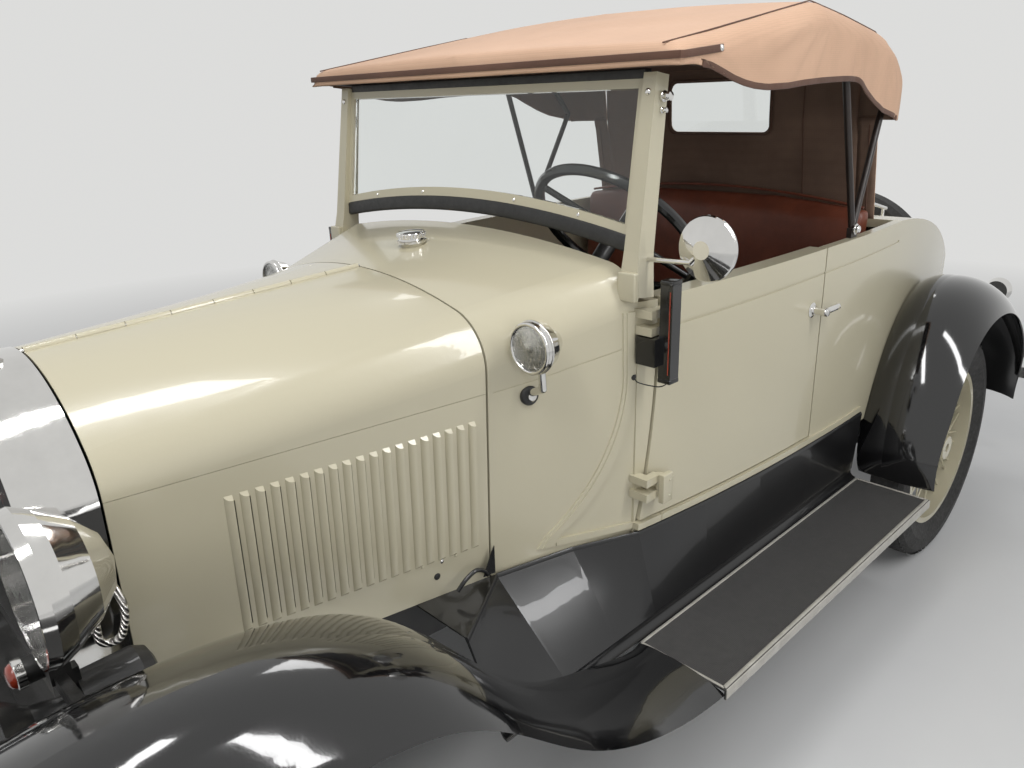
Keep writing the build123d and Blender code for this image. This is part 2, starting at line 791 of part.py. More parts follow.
def body_shell():
    """Hollow body behind the cowl, with a roofed deck and an open cockpit."""
    outer = body_plan(0, (body_bottom, 1300)) & body_side(0, body_bottom)
    inner = body_plan(wall, (body_bottom - 1, 1300)) & body_side(wall, body_bottom - 1)
    return outer - inner - belt_groove()


# The belt moulding's groove in side view, columns: distance, height
BELT_GROOVE = [(door_front - 10, 1062.0), (deck_front - 10, 1094.0)]
BELT_GROOVE_WIDTH = 6.0
BELT_GROOVE_DEPTH = 2.5


def belt_groove():
    """The groove below the belt line, along the doors and quarters."""
    (d1, z1), (d2, z2) = BELT_GROOVE
    half = BELT_GROOVE_WIDTH / 2
    band = side_prism((d1, z1 - half), lines((d2, z2 - half), (d2, z2 + half), (d1, z1 + half)), (-700, 700))
    return band - body_plan(BELT_GROOVE_DEPTH, (1000, 1200))


def sill_bead():
    """The bead along the body's lower edge, below the doors."""
    ring = body_plan(-BEAD_RISE, SILL_BEAD) - body_plan(5, (500, 700))
    return ring & block((-700, 700), (door_front + 21, SILL_BEAD_END), SILL_BEAD)


LID_FRONT = 2530.0
LID_REAR = 3060.0
LID_HALF_WIDTH = 330.0


def lid_column(grow):
    """The upright region that holds the luggage lid."""
    return block(
        (-LID_HALF_WIDTH - grow, LID_HALF_WIDTH + grow),
        (LID_FRONT - grow, LID_REAR + grow),
        (900, 1300),
    )


# Deck line in side view, columns: height, distance
DECK_ARC = [(BELT_REAR_Z, deck_front), (1091.0, 2790.0), (968.0, 3100.0)]
LID_HINGE_Z = arc_value(DECK_ARC, LID_FRONT)


def make_rear_body(shell):
    """Sills, quarters, deck and tail."""
    cockpit = body_plan(wall, (body_bottom, 1300)) & block((-700, 700), (1000, deck_front - 10), (500, 1400))
    shape = shell - cockpit
    door_start, door_steps = door_outline(panel_gap)
    shape = shape - side_prism(door_start, door_steps, (-900, 900))
    shape = shape - block((-900, 900), (1000, door_front + 21), (500, 1400))
    shape = shape - lid_column(panel_gap) - lid_rings(-1, 2)
    return shape + lid_rings(1, 0) + lid_pins() + sill_bead().solids()


def lid_rings(whose, grow):
    """Rings of the two lid hinges: the body's outer pairs or the lid's middle ones, grown by a gap."""
    y = along(LID_FRONT)
    shape = None
    for x in (-220, 220):
        spans = ((x - 30, x - 12), (x + 12, x + 30)) if whose == 1 else ((x - 11.5, x + 11.5),)
        for low, high in spans:
            ring = rod((low - grow, y, LID_HINGE_Z), (high + grow, y, LID_HINGE_Z), 9 + grow)
            toe = (LID_FRONT - 24, LID_FRONT) if whose == 1 else (LID_FRONT, LID_FRONT + 24)
            ring += block((low - grow, high + grow), toe, (LID_HINGE_Z - 6, LID_HINGE_Z + 5))
            shape = ring if shape is None else shape + ring
    return shape


def lid_pins():
    """Pins of the two lid hinges."""
    y = along(LID_FRONT)
    left, right = [rod((x - 29, y, LID_HINGE_Z), (x + 29, y, LID_HINGE_Z), 4) for x in (-220, 220)]
    return left + right


def make_lid(shell):
    """Luggage lid with its hinge barrels and handle."""
    y = along(LID_FRONT)
    shape = (shell & lid_column(0)) - lid_rings(1, 2) + lid_rings(-1, 0)
    for x in (-220, 220):
        shape = shape - rod((x - 40, y, LID_HINGE_Z), (x + 40, y, LID_HINGE_Z), 4 + running_fit)
    handle = rod((0, along(LID_REAR - 40), 975), (0, along(LID_REAR - 30), 1015), 8)
    return shape + handle


def make_door(shell):
    """Left door, as thick as its skin and trim together."""
    door_start, door_steps = door_outline(0)
    column = side_prism(door_start, door_steps, (450, 700))
    slab = body_plan(0, (500, 1300)) - body_plan(DOOR_THICKNESS, (499, 1301))
    inner_x = body_half_width(door_front - 20) - DOOR_THICKNESS
    slab = slab - block((0, inner_x), (cowl_rear, door_front + 50), (499, 1301)) - belt_groove()
    belt = body_side(0, 500)
    shape = slab & column & belt
    for z in DOOR_HINGES:
        shape = shape + door_leaf(z)
    handle_x = body_half_width(1850)
    shape = shape + rod((handle_x - 3, along(1850), 990), (handle_x + 38, along(1850), 990), 9)
    shape = shape + rod((handle_x + 34, along(1850), 990), (handle_x + 34, along(1920), 990), 8)
    return shape


DOOR_THICKNESS = 48.0
DOOR_HINGES = (680.0, 1062.0)
HINGE_X = 584.0
HINGE_DISTANCE = 1236.0
HINGE_PIN = 5.0
HINGE_LEAF = 6.0


def door_leaf(z):
    """The door's half of a hinge."""
    y = along(HINGE_DISTANCE)
    ring = rod((HINGE_X, y, z + 18.5), (HINGE_X, y, z + 35.5), 10)
    face_x = body_half_width(HINGE_DISTANCE + 30)
    z_range = (z + 18.5, z + 35.5)
    leaf = block((face_x + 4, HINGE_X + 8), (HINGE_DISTANCE + 6, HINGE_DISTANCE + 44), z_range)
    leaf += block((face_x - 6, face_x + 5), (door_front + 4, HINGE_DISTANCE + 44), z_range)
    shape = ring + leaf
    return shape - rod((HINGE_X, y, z), (HINGE_X, y, z + 60), HINGE_PIN + running_fit)


def pillar_leaf(z):
    """The pillar's half of a hinge, with its pin."""
    y = along(HINGE_DISTANCE)
    shape = rod((HINGE_X, y, z), (HINGE_X, y, z + 54), HINGE_PIN)
    for z_range in ((z, z + 18), (z + 36, z + 54)):
        shape += rod((HINGE_X, y, z_range[0]), (HINGE_X, y, z_range[1]), 10)
        shape += block((538, HINGE_X + 2), (HINGE_DISTANCE - 50, HINGE_DISTANCE - 26), z_range)
        shape += block((HINGE_X - 18, HINGE_X + 2), (HINGE_DISTANCE - 30, HINGE_DISTANCE), z_range)
    return shape


def make_floor():
    """Toe board, floor, seat riser and luggage floor."""
    t = FLOOR_BOARD
    low = body_bottom
    toe = side_prism(
        (hood_rear + 8, 690),
        lines((1120, low), (1280, low), (1280, low + t), (1120 + t, low + t), (hood_rear + 8, 690 + 1.4 * t)),
        (-360, 360),
    )
    rear = tail_end - wall - seat_gap
    steps = lines(
        (2395, low), (2395, 640), (rear, 640), (rear, 640 + t),
        (2395 - t, 640 + t), (2395 - t, low + t), (1276, low + t),
    )
    wide = side_prism((1276, low), steps, (-700, 700)) & body_plan(wall + seat_gap, (500, 1300))
    riser = block((-520, 520), (1900, 1912), (low + t, SEAT_BASE_Z - seat_gap))
    back = block((-520, 520), (2370, 2395 - t / 2), (low + t, SEAT_BASE_Z))
    return toe + wide + riser + back


SEAT_BASE_Z = 724.0


def make_dashboard():
    """Dash panel under the cowl's rear edge."""
    section = between(HOOD_SECTION, COWL_SECTION, cowl_rear - 20)
    face = Face(arch_wire(section, wall + 1.2, 1010))
    panel = Solid.extrude(face, Vector(0, 14, 0))
    low, high = column_ends()
    return panel - rod(low, high, COLUMN_RADIUS + seat_gap)


def make_seat_cushion():
    """Bench cushion."""
    half = 535.0
    start = (1880, SEAT_BASE_Z)
    steps = [((1868, 800), (1885, 868)), ((1940, 886), (2080, 872)), ((2262, 850),), ((2262, SEAT_BASE_Z),)]
    return side_prism(start, steps, (-half, half))


def make_seat_back():
    """Bench backrest, leaning back against the body."""
    half = 545.0
    start = (2262 + seat_gap, SEAT_BASE_Z + 20)
    steps = [
        ((2262 + seat_gap, 900),),
        ((2270, 1060), (2298, 1205)), ((2330, 1240), (2362, 1205)),
        ((2362, SEAT_BASE_Z + 20),),
    ]
    crown = cross_prism((-half, 700), [((-half, 1192),), ((0, 1240), (half, 1192)), ((half, 700),)], (2200, 2400))
    return side_prism(start, steps, (-half, half)) & crown


def screen_plane():
    """The windshield's own plane: X across, Y up the glass."""
    origin = (0, along(screen_foot[0]), screen_foot[1])
    lean = math.radians(screen_lean)
    return Plane(origin=origin, x_dir=(1, 0, 0), z_dir=(0, -math.cos(lean), math.sin(lean)))


def on_screen(plane):
    """Places (across, up) on the windshield's plane."""
    return lambda x, up: tuple(plane.from_local_coords(Vector(x, up, 0)))


def screen_slab(side, bottom, top, half, arch, thickness):
    """A pane of the windshield's shape, centred on its plane."""
    plane = screen_plane()
    steps = [((half, top),), ((-half, top),), ((-half, bottom),), ((0, bottom + arch), (half, bottom))]
    face = Face(outline((half, bottom), steps, on_screen(plane)))
    return Solid.extrude(face, plane.z_dir * thickness).moved(Location(plane.z_dir * (-thickness / 2)))


def make_screen_frame():
    """Windshield frame with its arched lower rail."""
    outer = screen_slab(1, screen_bottom, screen_height, screen_half_width, screen_arch, 20)
    inner = screen_slab(
        1, screen_bottom + 24, screen_height - 18, screen_half_width - 16, screen_arch, 60
    )
    return outer - inner


def make_screen_glass():
    """The pane, seated in the frame."""
    return screen_slab(
        1, screen_bottom + 24.3, screen_height - 18.3, screen_half_width - 16.3, screen_arch, glass_thickness
    )


def make_posts():
    """Windshield posts, tapered castings on the cowl's corners."""
    plane = screen_plane()
    shapes = []
    for side in (1, -1):
        rings = []
        # Columns: height up the screen, inner x, outer x, depth
        for up, inner, outer, depth in ((0, 514, 560, 62), (90, 514, 552, 50), (434, 514, 545, 40)):
            corners = [(inner, -depth / 2), (outer, -depth / 2), (outer, depth / 2), (inner, depth / 2)]
            points = []
            for x, out in corners:
                point = plane.from_local_coords(Vector(side * x, up, out))
                points.append((point.X, point.Y, point.Z))
            rings.append(Wire.make_polygon(points, close=True))
        shapes.append(Solid.make_loft(rings, True))
    return shapes


# Soft top, by its bows
# Columns: distance, half width, height, crown radius, shoulder radius
ROOF = [
    (1190.0, 628.0, 1630.0, 15000.0, 30.0),
    (1560.0, 631.0, 1706.0, 8000.0, 45.0),
    (1750.0, 624.0, 1742.0, 7000.0, 50.0),
    (1940.0, 615.0, 1722.0, 6500.0, 55.0),
    (2160.0, 604.0, 1694.0, 6000.0, 60.0),
    (2250.0, 600.0, 1664.0, 5500.0, 70.0),
    (2340.0, 596.0, 1590.0, 5000.0, 70.0),
]
ROOF_FRONT = ROOF[0][0]
ROOF_REAR = 2330.0
TOP_SKIN = 6.0
TOP_CORNER = 60.0


def roof_section(distance, foot=True):
    """The top's cross-section at a distance, in the columns of the hood's sections."""
    for first, second in zip(ROOF, ROOF[1:]):
        if distance <= second[0]:
            break
    d, half, top, crown, corner = between(first, second, distance)
    return (d, half, top, crown, corner, half)


def roof_loft(inset, bottom):
    """The roof's solid, straight from bow to bow."""
    rings = [arch_wire((row[0], row[1], row[2], row[3], row[4], row[1]), inset, bottom) for row in ROOF]
    return Solid.make_loft(rings, True)


def top_profile(inset, drop):
    """Side view of the top, from the header to its rear lower corner."""
    front = ROOF_FRONT + inset
    start = (front, 1579.0 - drop)
    steps = [
        ((front, 1800.0),),
        ((2230.0 - inset, 1800.0),),
        ((2230.0 - inset, 1700.0 - inset),),
        ((2302.0 - inset, 1648.0 - inset), (ROOF_REAR - inset, 1560.0 - inset)),
        ((ROOF_REAR + 6.0 - inset, 1440.0 - drop),),
        ((2290.0, 1446.0 - drop),),
        ((2160.0, 1468.0 - drop), (2037.0, 1515.0 - drop)),
        ((1962.0, 1545.0 - drop), (1871.0, 1547.0 - drop)),
        ((1674.0, 1541.0 - drop),),
        ((1502.0, 1533.0 - drop), (1340.0, 1556.0 - drop)),
        ((1320.0, 1579.0 - drop),),
    ]
    return side_prism(start, steps, (-700, 700))


def top_plan(inset):
    """Plan of the top's rear, with its round corners."""
    half = ROOF[5][1] - inset
    rear = ROOF_REAR + 8.0 - inset
    corner = TOP_CORNER - inset
    cut = corner * 0.2929
    start = (700.0, 1100.0)
    steps = [
        ((700.0, 2200.0),),
        ((half + 2.5, 2200.0),),
        ((half, rear - corner),),
        ((half - cut, rear - cut), (half - corner, rear)),
        ((-(half - corner), rear),),
        ((-(half - cut), rear - cut), (-half, rear - corner)),
        ((-half - 2.5, 2200.0),),
        ((-700.0, 2200.0),),
        ((-700.0, 1100.0),),
    ]
    return plan_prism(start, steps, (1300, 1900))


def make_canopy():
    """Soft top skin over its bows."""
    outer = roof_loft(0, 1400) & top_profile(0, 0) & top_plan(0)
    inner = roof_loft(TOP_SKIN, 1300) & top_profile(TOP_SKIN, 90) & top_plan(TOP_SKIN)
    hole = block((-470, 470), (ROOF_REAR - 60, ROOF_REAR + 60), (1300, CURTAIN_TOP + seat_gap * 2))
    return outer - inner - hole


CURTAIN_TOP = 1604.0
CURTAIN_FOOT = (2385.0, 1153.4)
WINDOW = (185.0, 1405.0, 1562.0)


def curtain_slab(shift, thickness, half, z_range):
    """A layer of the rear curtain, which follows the top's rear face."""
    def line(back):
        return [
            (ROOF_REAR - 15.0 - back, CURTAIN_TOP), (ROOF_REAR - 5.0 - back, 1582.0), (ROOF_REAR - back, 1560.0),
            (ROOF_REAR + 6.0 - back, 1439.4), (CURTAIN_FOOT[0] - back, CURTAIN_FOOT[1]),
        ]

    out = line(shift)
    near = line(shift + thickness)
    steps = [(out[1], out[2]), (out[3],), (out[4],), (near[4],), (near[3],), (near[2],), (near[1], near[0])]
    slab = side_prism(out[0], steps, (-half, half))
    return slab & block((-half, half), (2200, 2500), z_range)


def window_column(grow):
    """The upright rounded outline of the rear window, stretched along the car."""
    half, low, high = WINDOW
    corner = 24.0
    h, a, b = half + grow, low - grow, high + grow
    cut = corner * 0.2929
    steps = [
        ((h, b - corner),), ((h - cut, b - cut), (h - corner, b)),
        ((-h + corner, b),), ((-h + cut, b - cut), (-h, b - corner)),
        ((-h, a + corner),), ((-h + cut, a + cut), (-h + corner, a)),
        ((h - corner, a),), ((h - cut, a + cut), (h, a + corner)),
    ]
    return cross_prism((h, a + corner), steps, (2200, 2500))


def make_rear_window():
    """The clear pane of the rear curtain."""
    half, low, high = WINDOW
    return curtain_slab(2, 2, half + 20, (low - 20, high + 20)) & window_column(-seat_gap)


def make_curtain():
    """Rear curtain with its window opening."""
    middle = curtain_slab(0, TOP_SKIN, 469.5, (1100, 1700))
    skirt = curtain_slab(0, TOP_SKIN, 528.0, (1100, 1439.4))
    return middle + skirt - window_column(0)


BOW_HEIGHT = 22.0
BOW_DEPTH = 28.0
IRON_X = 596.0
IRON_FOOT = (2073.0, 1166.0)


def bow(distance, depth, height, foot_z):
    """One bow under the roof, from side to side and down behind the valance."""
    near = roof_section(distance - depth / 2)
    far = roof_section(distance + depth / 2)
    section = near if near[2] < far[2] else far
    section = (distance - depth / 2, min(near[1], far[1])) + section[2:5] + (min(near[1], far[1]),)
    inset = TOP_SKIN + seat_gap
    outer = Solid.extrude(Face(arch_wire(section, inset, foot_z)), Vector(0, depth, 0))
    return outer - Solid.extrude(Face(arch_wire(section, inset + height, foot_z - 1)), Vector(0, depth, 0))


def make_top_frame():
    """Header, bows and side irons of the soft top."""
    header = roof_section(1212.0)
    shape = Solid.extrude(Face(arch_wire(header, TOP_SKIN + seat_gap, 1583.0)), Vector(0, 50, 0))
    for distance in (1560.0, 1750.0, 1940.0, 2160.0):
        shape = shape + bow(distance, BOW_DEPTH, BOW_HEIGHT, 1552.0)
    for side in (1, -1):
        x = side * IRON_X
        anchor = (x, along(IRON_FOOT[0]), IRON_FOOT[1])
        shape += block(sorted((side * (IRON_X - 6), side * (IRON_X + 8))), (2055, 2091), (1147.8, 1174))
        shape += rod(anchor, (x, along(1940), 1560), 9)
        shape += rod(anchor, (side * 574, along(2230), 1470), 9)
        shape += rod((side * 574, along(2230), 1470), (side * 582, along(2160), 1560), 9)
        shape += rod((side * 598, along(1750), 1560), (x, along(1940), 1560), 8)
        shape += rod((side * 604, along(1560), 1566), (side * 598, along(1750), 1560), 8)
        shape += rod((side * 600, along(1235), 1592), (side * 604, along(1560), 1566), 8)
    return shape


# Fender stations
# Columns: distance, crown height, slope of the path in degrees, crown x, outer x, outer drop,
# inner x, inner drop
FRONT_FENDER = [
    (-432.0, 470.0, 84.0, 690.0, 800.0, 30.0, 600.0, 20.0),
    (-395.0, 660.0, 66.0, 690.0, 838.0, 70.0, 520.0, 60.0),
    (-250.0, 818.0, 34.0, 690.0, 851.0, 92.0, 470.0, 150.0),
    (-20.0, 888.0, 6.0, 690.0, 851.0, 98.0, 440.0, 225.0),
    (220.0, 880.0, -10.0, 690.0, 851.0, 92.0, 430.0, 230.0),
    (430.0, 803.0, -33.0, 690.0, 851.0, 66.0, 430.0, 150.0),
    (575.0, 668.0, -48.0, 690.0, 851.0, 40.0, 470.0, 60.0),
    (711.0, 530.0, -40.0, 690.0, 851.0, 26.0, 600.0, 20.0),
    (880.0, 432.0, -20.0, 690.0, 851.0, 20.0, 624.0, 10.0),
    (990.0, 398.0, -11.0, 690.0, 851.0, 19.0, 627.6, 9.0),
    (board_front - seat_gap, board_top + 8, -3.0, 690.0, 851.0, 18.0, 628.0, 8.0),
]
REAR_FENDER = [
    (2240.0, 392.0, 84.0, 700.0, 851.0, 18.0, 628.0, 8.0),
    (2268.0, 590.0, 78.0, 690.0, 851.0, 34.0, 0.0, 20.0),
    (2345.0, 760.0, 58.0, 685.0, 851.0, 52.0, 0.0, 30.0),
    (2470.0, 888.0, 33.0, 680.0, 851.0, 74.0, 0.0, 36.0),
    (2640.0, 946.0, 5.0, 676.0, 851.0, 96.0, 0.0, 40.0),
    (2820.0, 918.0, -24.0, 676.0, 851.0, 98.0, 0.0, 40.0),
    (2985.0, 810.0, -48.0, 676.0, 851.0, 90.0, 0.0, 36.0),
    (3090.0, 640.0, -70.0, 676.0, 846.0, 70.0, 0.0, 30.0),
    (3118.0, 450.0, -88.0, 676.0, 830.0, 50.0, 0.0, 26.0),
]


def fender_ring(station):
    """A thin closed section across a fender, square to its path."""
    distance, crown_z, slope, crown_x, outer_x, outer_drop, inner_x, inner_drop = station
    turn = math.radians(slope)
    if inner_x == 0.0:
        inner_x = body_half_width(distance) - 4.0

    def place(x, drop):
        return (x, along(distance) + drop * math.sin(turn), crown_z - drop * math.cos(turn))

    t = fender_metal
    outer_mid = (crown_x + (outer_x - crown_x) * 0.72, outer_drop * 0.38)
    inner_mid = (crown_x + (inner_x - crown_x) * 0.6, inner_drop * 0.26)
    steps = [
        (outer_mid, (outer_x, outer_drop)),
        ((outer_x - t, outer_drop + 1.0),),
        ((outer_mid[0] - t * 0.6, outer_mid[1] + t), (crown_x, t)),
        ((inner_mid[0] + t * 0.5, inner_mid[1] + t), (inner_x + 1.0, inner_drop + t)),
        ((inner_x, inner_drop),),
        (inner_mid, (crown_x, 0.0)),
    ]
    return outline((crown_x, 0.0), steps, place)


def make_fender(table):
    """One fender, lofted through its stations."""
    return Solid.make_loft([fender_ring(station) for station in table], False)


# The apron's upper edge, which hides the body's foot
# Columns: distance, half width of what it follows, height, inner half width
APRON_EDGE = [
    (705.0, 520.0, 558.0, 335.0),
    (hood_rear + 2, 412.0, 567.0, 352.0),
    (1056.0, 477.0, 583.0, 372.0),
    (cowl_rear, body_half_width(1197.0), 594.0, 385.0),
    (1420.0, body_half_width(1420.0), 592.0, 385.0),
    (1650.0, body_half_width(1650.0), 592.0, 385.0),
    (1905.0, body_half_width(1905.0) + 2, 593.0, 385.0),
    (board_rear - 2, body_half_width(1905.0) + 3.5, 594.0, 385.0),
]


def make_apron():
    """Left splash apron from the frame, out under the body and down to the running board."""
    def ring(distance, half, edge_z, inner_x):
        base = rail_top + seat_gap
        face = half + 1.5
        steps = [
            ((face, base + sheet),),
            ((face, edge_z),),
            ((face + 2, edge_z),),
            ((face + 5.5, edge_z - 3), (face + 7, edge_z - 8)),
            ((board_inner - 14, board_top + 30),),
            ((board_inner - 10, board_top + 8), (board_inner, board_top + 4)),
            ((board_inner, board_top),),
            ((board_inner - 14, board_top + 5), (board_inner - 18, board_top + 30)),
            ((face + 1, base - 10),),
            ((face - 6, base),),
            ((inner_x, base),),
        ]
        return outline((inner_x, base + sheet), steps, on_cross(distance))

    return Solid.make_loft([ring(*row) for row in APRON_EDGE], True)


def make_board():
    """Left running board with a turned down edge."""
    top = board_top
    outer = half_overall_width
    shape = block((board_inner + seat_gap, outer), (board_front, board_rear), (top - board_thickness, top))
    return shape - block((board_inner + 4, outer - 4), (board_front - 1, board_rear + 1), (top - board_thickness - 1, top - 4))


LAMP_X = 405.0
LAMP_Z = 935.0
LAMP_RIM = 40.0
LAMP_BAR = 60.0


def make_headlamp(side):
    """Acorn shaped lamp shell with its rim and post."""
    outer = [(LAMP_RIM, 112), (LAMP_RIM + 16, 116), (LAMP_RIM + 40, 104), (LAMP_RIM + 80, 78), (LAMP_RIM + 110, 44), (LAMP_RIM + 124, 0)]
    inner = [(LAMP_RIM + 20, 0), (LAMP_RIM + 20, 104), (LAMP_RIM, 104)]
    shape = turned_lengthwise(outer + inner, side * LAMP_X, LAMP_Z)
    post = rod((side * LAMP_X, along(LAMP_BAR + 4), 812 + seat_gap), (side * LAMP_X, along(LAMP_BAR + 4), LAMP_Z - 106), 12)
    return shape + post


def make_lens(side):
    """Headlamp glass, seated in the rim."""
    points = [(LAMP_RIM + 4, 0), (LAMP_RIM + 4, 103.5), (LAMP_RIM + 14, 103.5), (LAMP_RIM + 14, 0)]
    return turned_lengthwise(points, side * LAMP_X, LAMP_Z)


def make_lamp_bar():
    """Curved bar between the front fenders, with the lamps' seats and the small amber lamps."""
    d = LAMP_BAR
    start = (-514.0, 812)
    steps = [((0, 770), (514.0, 812)), ((490.5, 786),), ((0, 744), (-490.5, 786))]
    shape = cross_prism(start, steps, (d - 8, d + 8))
    for side in (1, -1):
        shape += block(sorted((side * 390, side * 420)), (d - 12, d + 16), (785, 812))
        shape += rod((side * 330, along(d - 40), 770), (side * 330, along(d), 770), 20)
    return shape


def make_horn():
    """Horn: motor housing and bell, below the left lamp."""
    points = [(-20, 0), (-20, 62), (20, 30), (84, 18), (84, 46), (168, 48), (186, 40), (192, 26), (192, 0)]
    shape = turned_lengthwise(points, 380.0, 712.0)
    return shape + block((370, 390), (LAMP_BAR + 8 + seat_gap, 90), (712, 780))


def make_cowl_lamp(side):
    """Small lamp on a curved stem on the cowl's side."""
    x, z = side * 495.0, 1082.0
    front = hood_rear + 40
    points = [
        (front, 0), (front, 50), (front + 12, 52), (front + 37, 44), (front + 67, 24), (front + 80, 0),
    ]
    shape = turned_lengthwise(points, x, z)
    stem = [(x, along(front + 30), z - 30), (x, along(front + 35), 990), (side * 440, along(front + 42), 964)]
    return shape + bar_chain(stem, 8) - arch_loft(HOOD_SECTION, COWL_SECTION, -seat_gap, body_bottom)


# The left headlamp's conduit, columns: x, distance, height
CONDUIT = [
    (262.0, 140.0, 905.0), (330.0, 146.0, 902.0), (382.0, 158.0, 884.0), (408.0, 164.0, 846.0),
    (414.0, 146.0, 806.0), (412.0, 118.0, 812.0), (407.0, 120.0, 850.0), (405.0, 124.0, 886.0),
]
CONDUIT_RADIUS = 6.0


def make_conduit(side):
    """The armoured wire from the radiator shell's side to the lamp's underside."""
    points = [Vector(side * x, along(d), z) for x, d, z in CONDUIT]
    radii = []
    for a, b, c in zip(points, points[1:], points[2:]):
        half_turn = math.radians((b - a).get_angle(c - b)) / 2
        radii.append(0.45 * min((b - a).length, (c - b).length) / math.tan(half_turn))
    path = FilletPolyline(*points, radius=radii)
    start = Plane(origin=points[0], z_dir=points[1] - points[0])
    tube = sweep(start * Circle(CONDUIT_RADIUS), path=path)
    section = math.pi * CONDUIT_RADIUS**2
    print("conduit radii", [round(r) for r in radii], "volume share", round(tube.volume / (section * path.length), 4))
    shell = arch_loft((shell_front,) + SHELL_SECTION[1:], SHELL_SECTION, -3.0 - seat_gap, body_bottom)
    lamp = [(LAMP_RIM, 112), (LAMP_RIM + 40, 104), (LAMP_RIM + 80, 78), (LAMP_RIM + 110, 44), (LAMP_RIM + 124, 0)]
    grown = [(LAMP_RIM, 0)] + [(d, r + 0.4 if r else 0) for d, r in lamp]
    return tube - shell - turned_lengthwise(grown, side * LAMP_X, LAMP_Z)


TOP_REST_X = 397.0


def make_top_rest(side):
    """Small bright rail on two feet on the deck, which carries the folded top."""
    x = side * TOP_REST_X
    ends = [(x, along(d), arc_value(DECK_ARC, d) + 42) for d in (2637, 2801)]
    shape = rod(*ends, 6)
    for d in (2658, 2778):
        z = arc_value(DECK_ARC, d)
        shape += rod((x, along(d), z - 10), (x, along(d), z + 42), 5)
        shape += rod((x, along(d), z - 10), (x, along(d), z + 6), 11)
    return shape - body_side(-seat_gap, 500)


def make_mirror():
    """Round mirror on an arm from the left post."""
    arm = rod((553.8, along(1212), 1216), (660, along(1205), 1222), 5)
    disc = turned_lengthwise([(1196, 0), (1196, 18), (1214, 62), (1218, 64), (1222, 64), (1222, 0)], 687.0, 1250.0)
    link = rod((660, along(1205), 1222), (687, along(1205), 1250), 7)
    return arm + disc + link


def make_trafficator(side):
    """Upright semaphore indicator box with its bracket on the pillar."""
    shape = block(sorted((side * 598, side * 628)), (1196, 1226), (968, 1178))
    bracket = block(sorted((side * 552, side * 600)), (1180, 1222), (1000, 1060))
    return shape + bracket


def bumper_bar(z, distance, back, half, height):
    """One flat bar, bowed in plan."""
    t = 8.0
    steps = [
        ((0.0, distance), (-half, distance + back)),
        ((-half, distance + back + t),),
        ((0.0, distance + t), (half, distance + back + t)),
    ]
    return plan_prism((half, distance + back), steps, (z - height / 2, z + height / 2))


def make_front_bumper():
    """Two bowed bars, clamped together at the middle, the ends and the arms."""
    d = -front_overhang
    shape = bumper_bar(515, d, 32, 760, 44) + bumper_bar(430, d, 32, 760, 44)
    for x in (-752, -295, 0, 295, 752):
        back = 32 * (x / 760) ** 2
        shape += block((x - 14, x + 14), (d + back + 4, d + back + 16), (412, 533))
    for side in (1, -1):
        shape += block(sorted((side * 282, side * 306)), (d + 10, -430 - seat_gap), (475, 495))
    return shape


def make_rear_bumper(side):
    """A short double bar behind one rear fender, with its arm."""
    d = wheelbase + rear_overhang
    shape = None
    for z in (515, 430):
        bar = block(sorted((side * 410, side * 800)), (d - 8, d), (z - 22, z + 22))
        shape = bar if shape is None else shape + bar
    for x in (430, 620, 780):
        shape += block(sorted((side * (x - 14), side * (x + 14))), (d - 18, d - 6), (412, 533))
    outward = block(sorted((side * (330 + seat_gap), side * 442)), (3300, 3325), (505, 530))
    return shape + outward + block(sorted((side * 418, side * 442)), (3300, d - 10), (505, 530))


def make_wheel(x, distance, side, with_drum):
    """Wire wheel: rim, hub, cap and crossed spokes, with its brake drum."""
    z = tyre_radius if with_drum else SPARE_Z
    half = rim_width / 2
    rim = turned_across(
        [(x - half, rim_radius), (x - half, rim_radius - 18), (x + half, rim_radius - 18), (x + half, rim_radius),
         (x + half - 5, rim_radius), (x + half - 8, rim_radius - 12), (x - half + 8, rim_radius - 12), (x - half + 5, rim_radius)],
        distance, z,
    )
    inner = x - side * 30
    outer = x + side * hub_outer_offset
    hub_points = [(inner, spindle_radius + running_fit), (inner, hub_radius), (x, hub_radius), (x + side * 30, 42),
                  (outer, 40), (outer, spindle_radius + running_fit)]
    hub = turned_across(hub_points, distance, z)
    shape = rim + hub
    spokes = []
    y = along(distance)
    for index in range(spoke_pairs * 2):
        angle = math.radians(index * 360 / (spoke_pairs * 2))
        lean = math.radians(14 if index % 2 else -14)
        start_x = x - side * 22 if index % 2 else x + side * 22
        a = (start_x, y + 52 * math.sin(angle), z + 52 * math.cos(angle)) if index % 2 else (
            start_x, y + 40 * math.sin(angle), z + 40 * math.cos(angle))
        reach = rim_radius - 14
        b = (x, y + reach * math.sin(angle + lean), z + reach * math.cos(angle + lean))
        spokes.append(flat_sided_rod(a, b, spoke_radius))
    shape = shape + spokes
    if with_drum:
        near = x - side * drum_inner_offset
        far = near + side * drum_width
        drum = turned_across(
            [(near, drum_radius), (far, drum_radius), (far, hub_radius - 5), (far - side * 6, hub_radius - 5),
             (far - side * 6, drum_radius - 6), (near, drum_radius - 6)],
            distance, z,
        )
        shape += drum
    return shape


def make_tyre(x, distance, z):
    """Tyre with bead, bulged sidewalls, shoulders and tread, seated on the rim."""
    half = tyre_width / 2
    inner = rim_radius + seat_gap
    # Columns: half width, radius
    right = [
        (rim_width / 2 - 2, inner), (half, inner + 52), (half - 6, tyre_radius - 20), (half - 25, tyre_radius),
    ]
    left = [(-w, r) for w, r in reversed(right)]
    steps = lines(*[(x + w, r) for w, r in right[1:] + left])
    face = Face(outline((x + right[0][0], inner), steps, lambda a, r: (a, along(distance), z + r)))
    return revolve(face, Axis((0, along(distance), z), (1, 0, 0)))


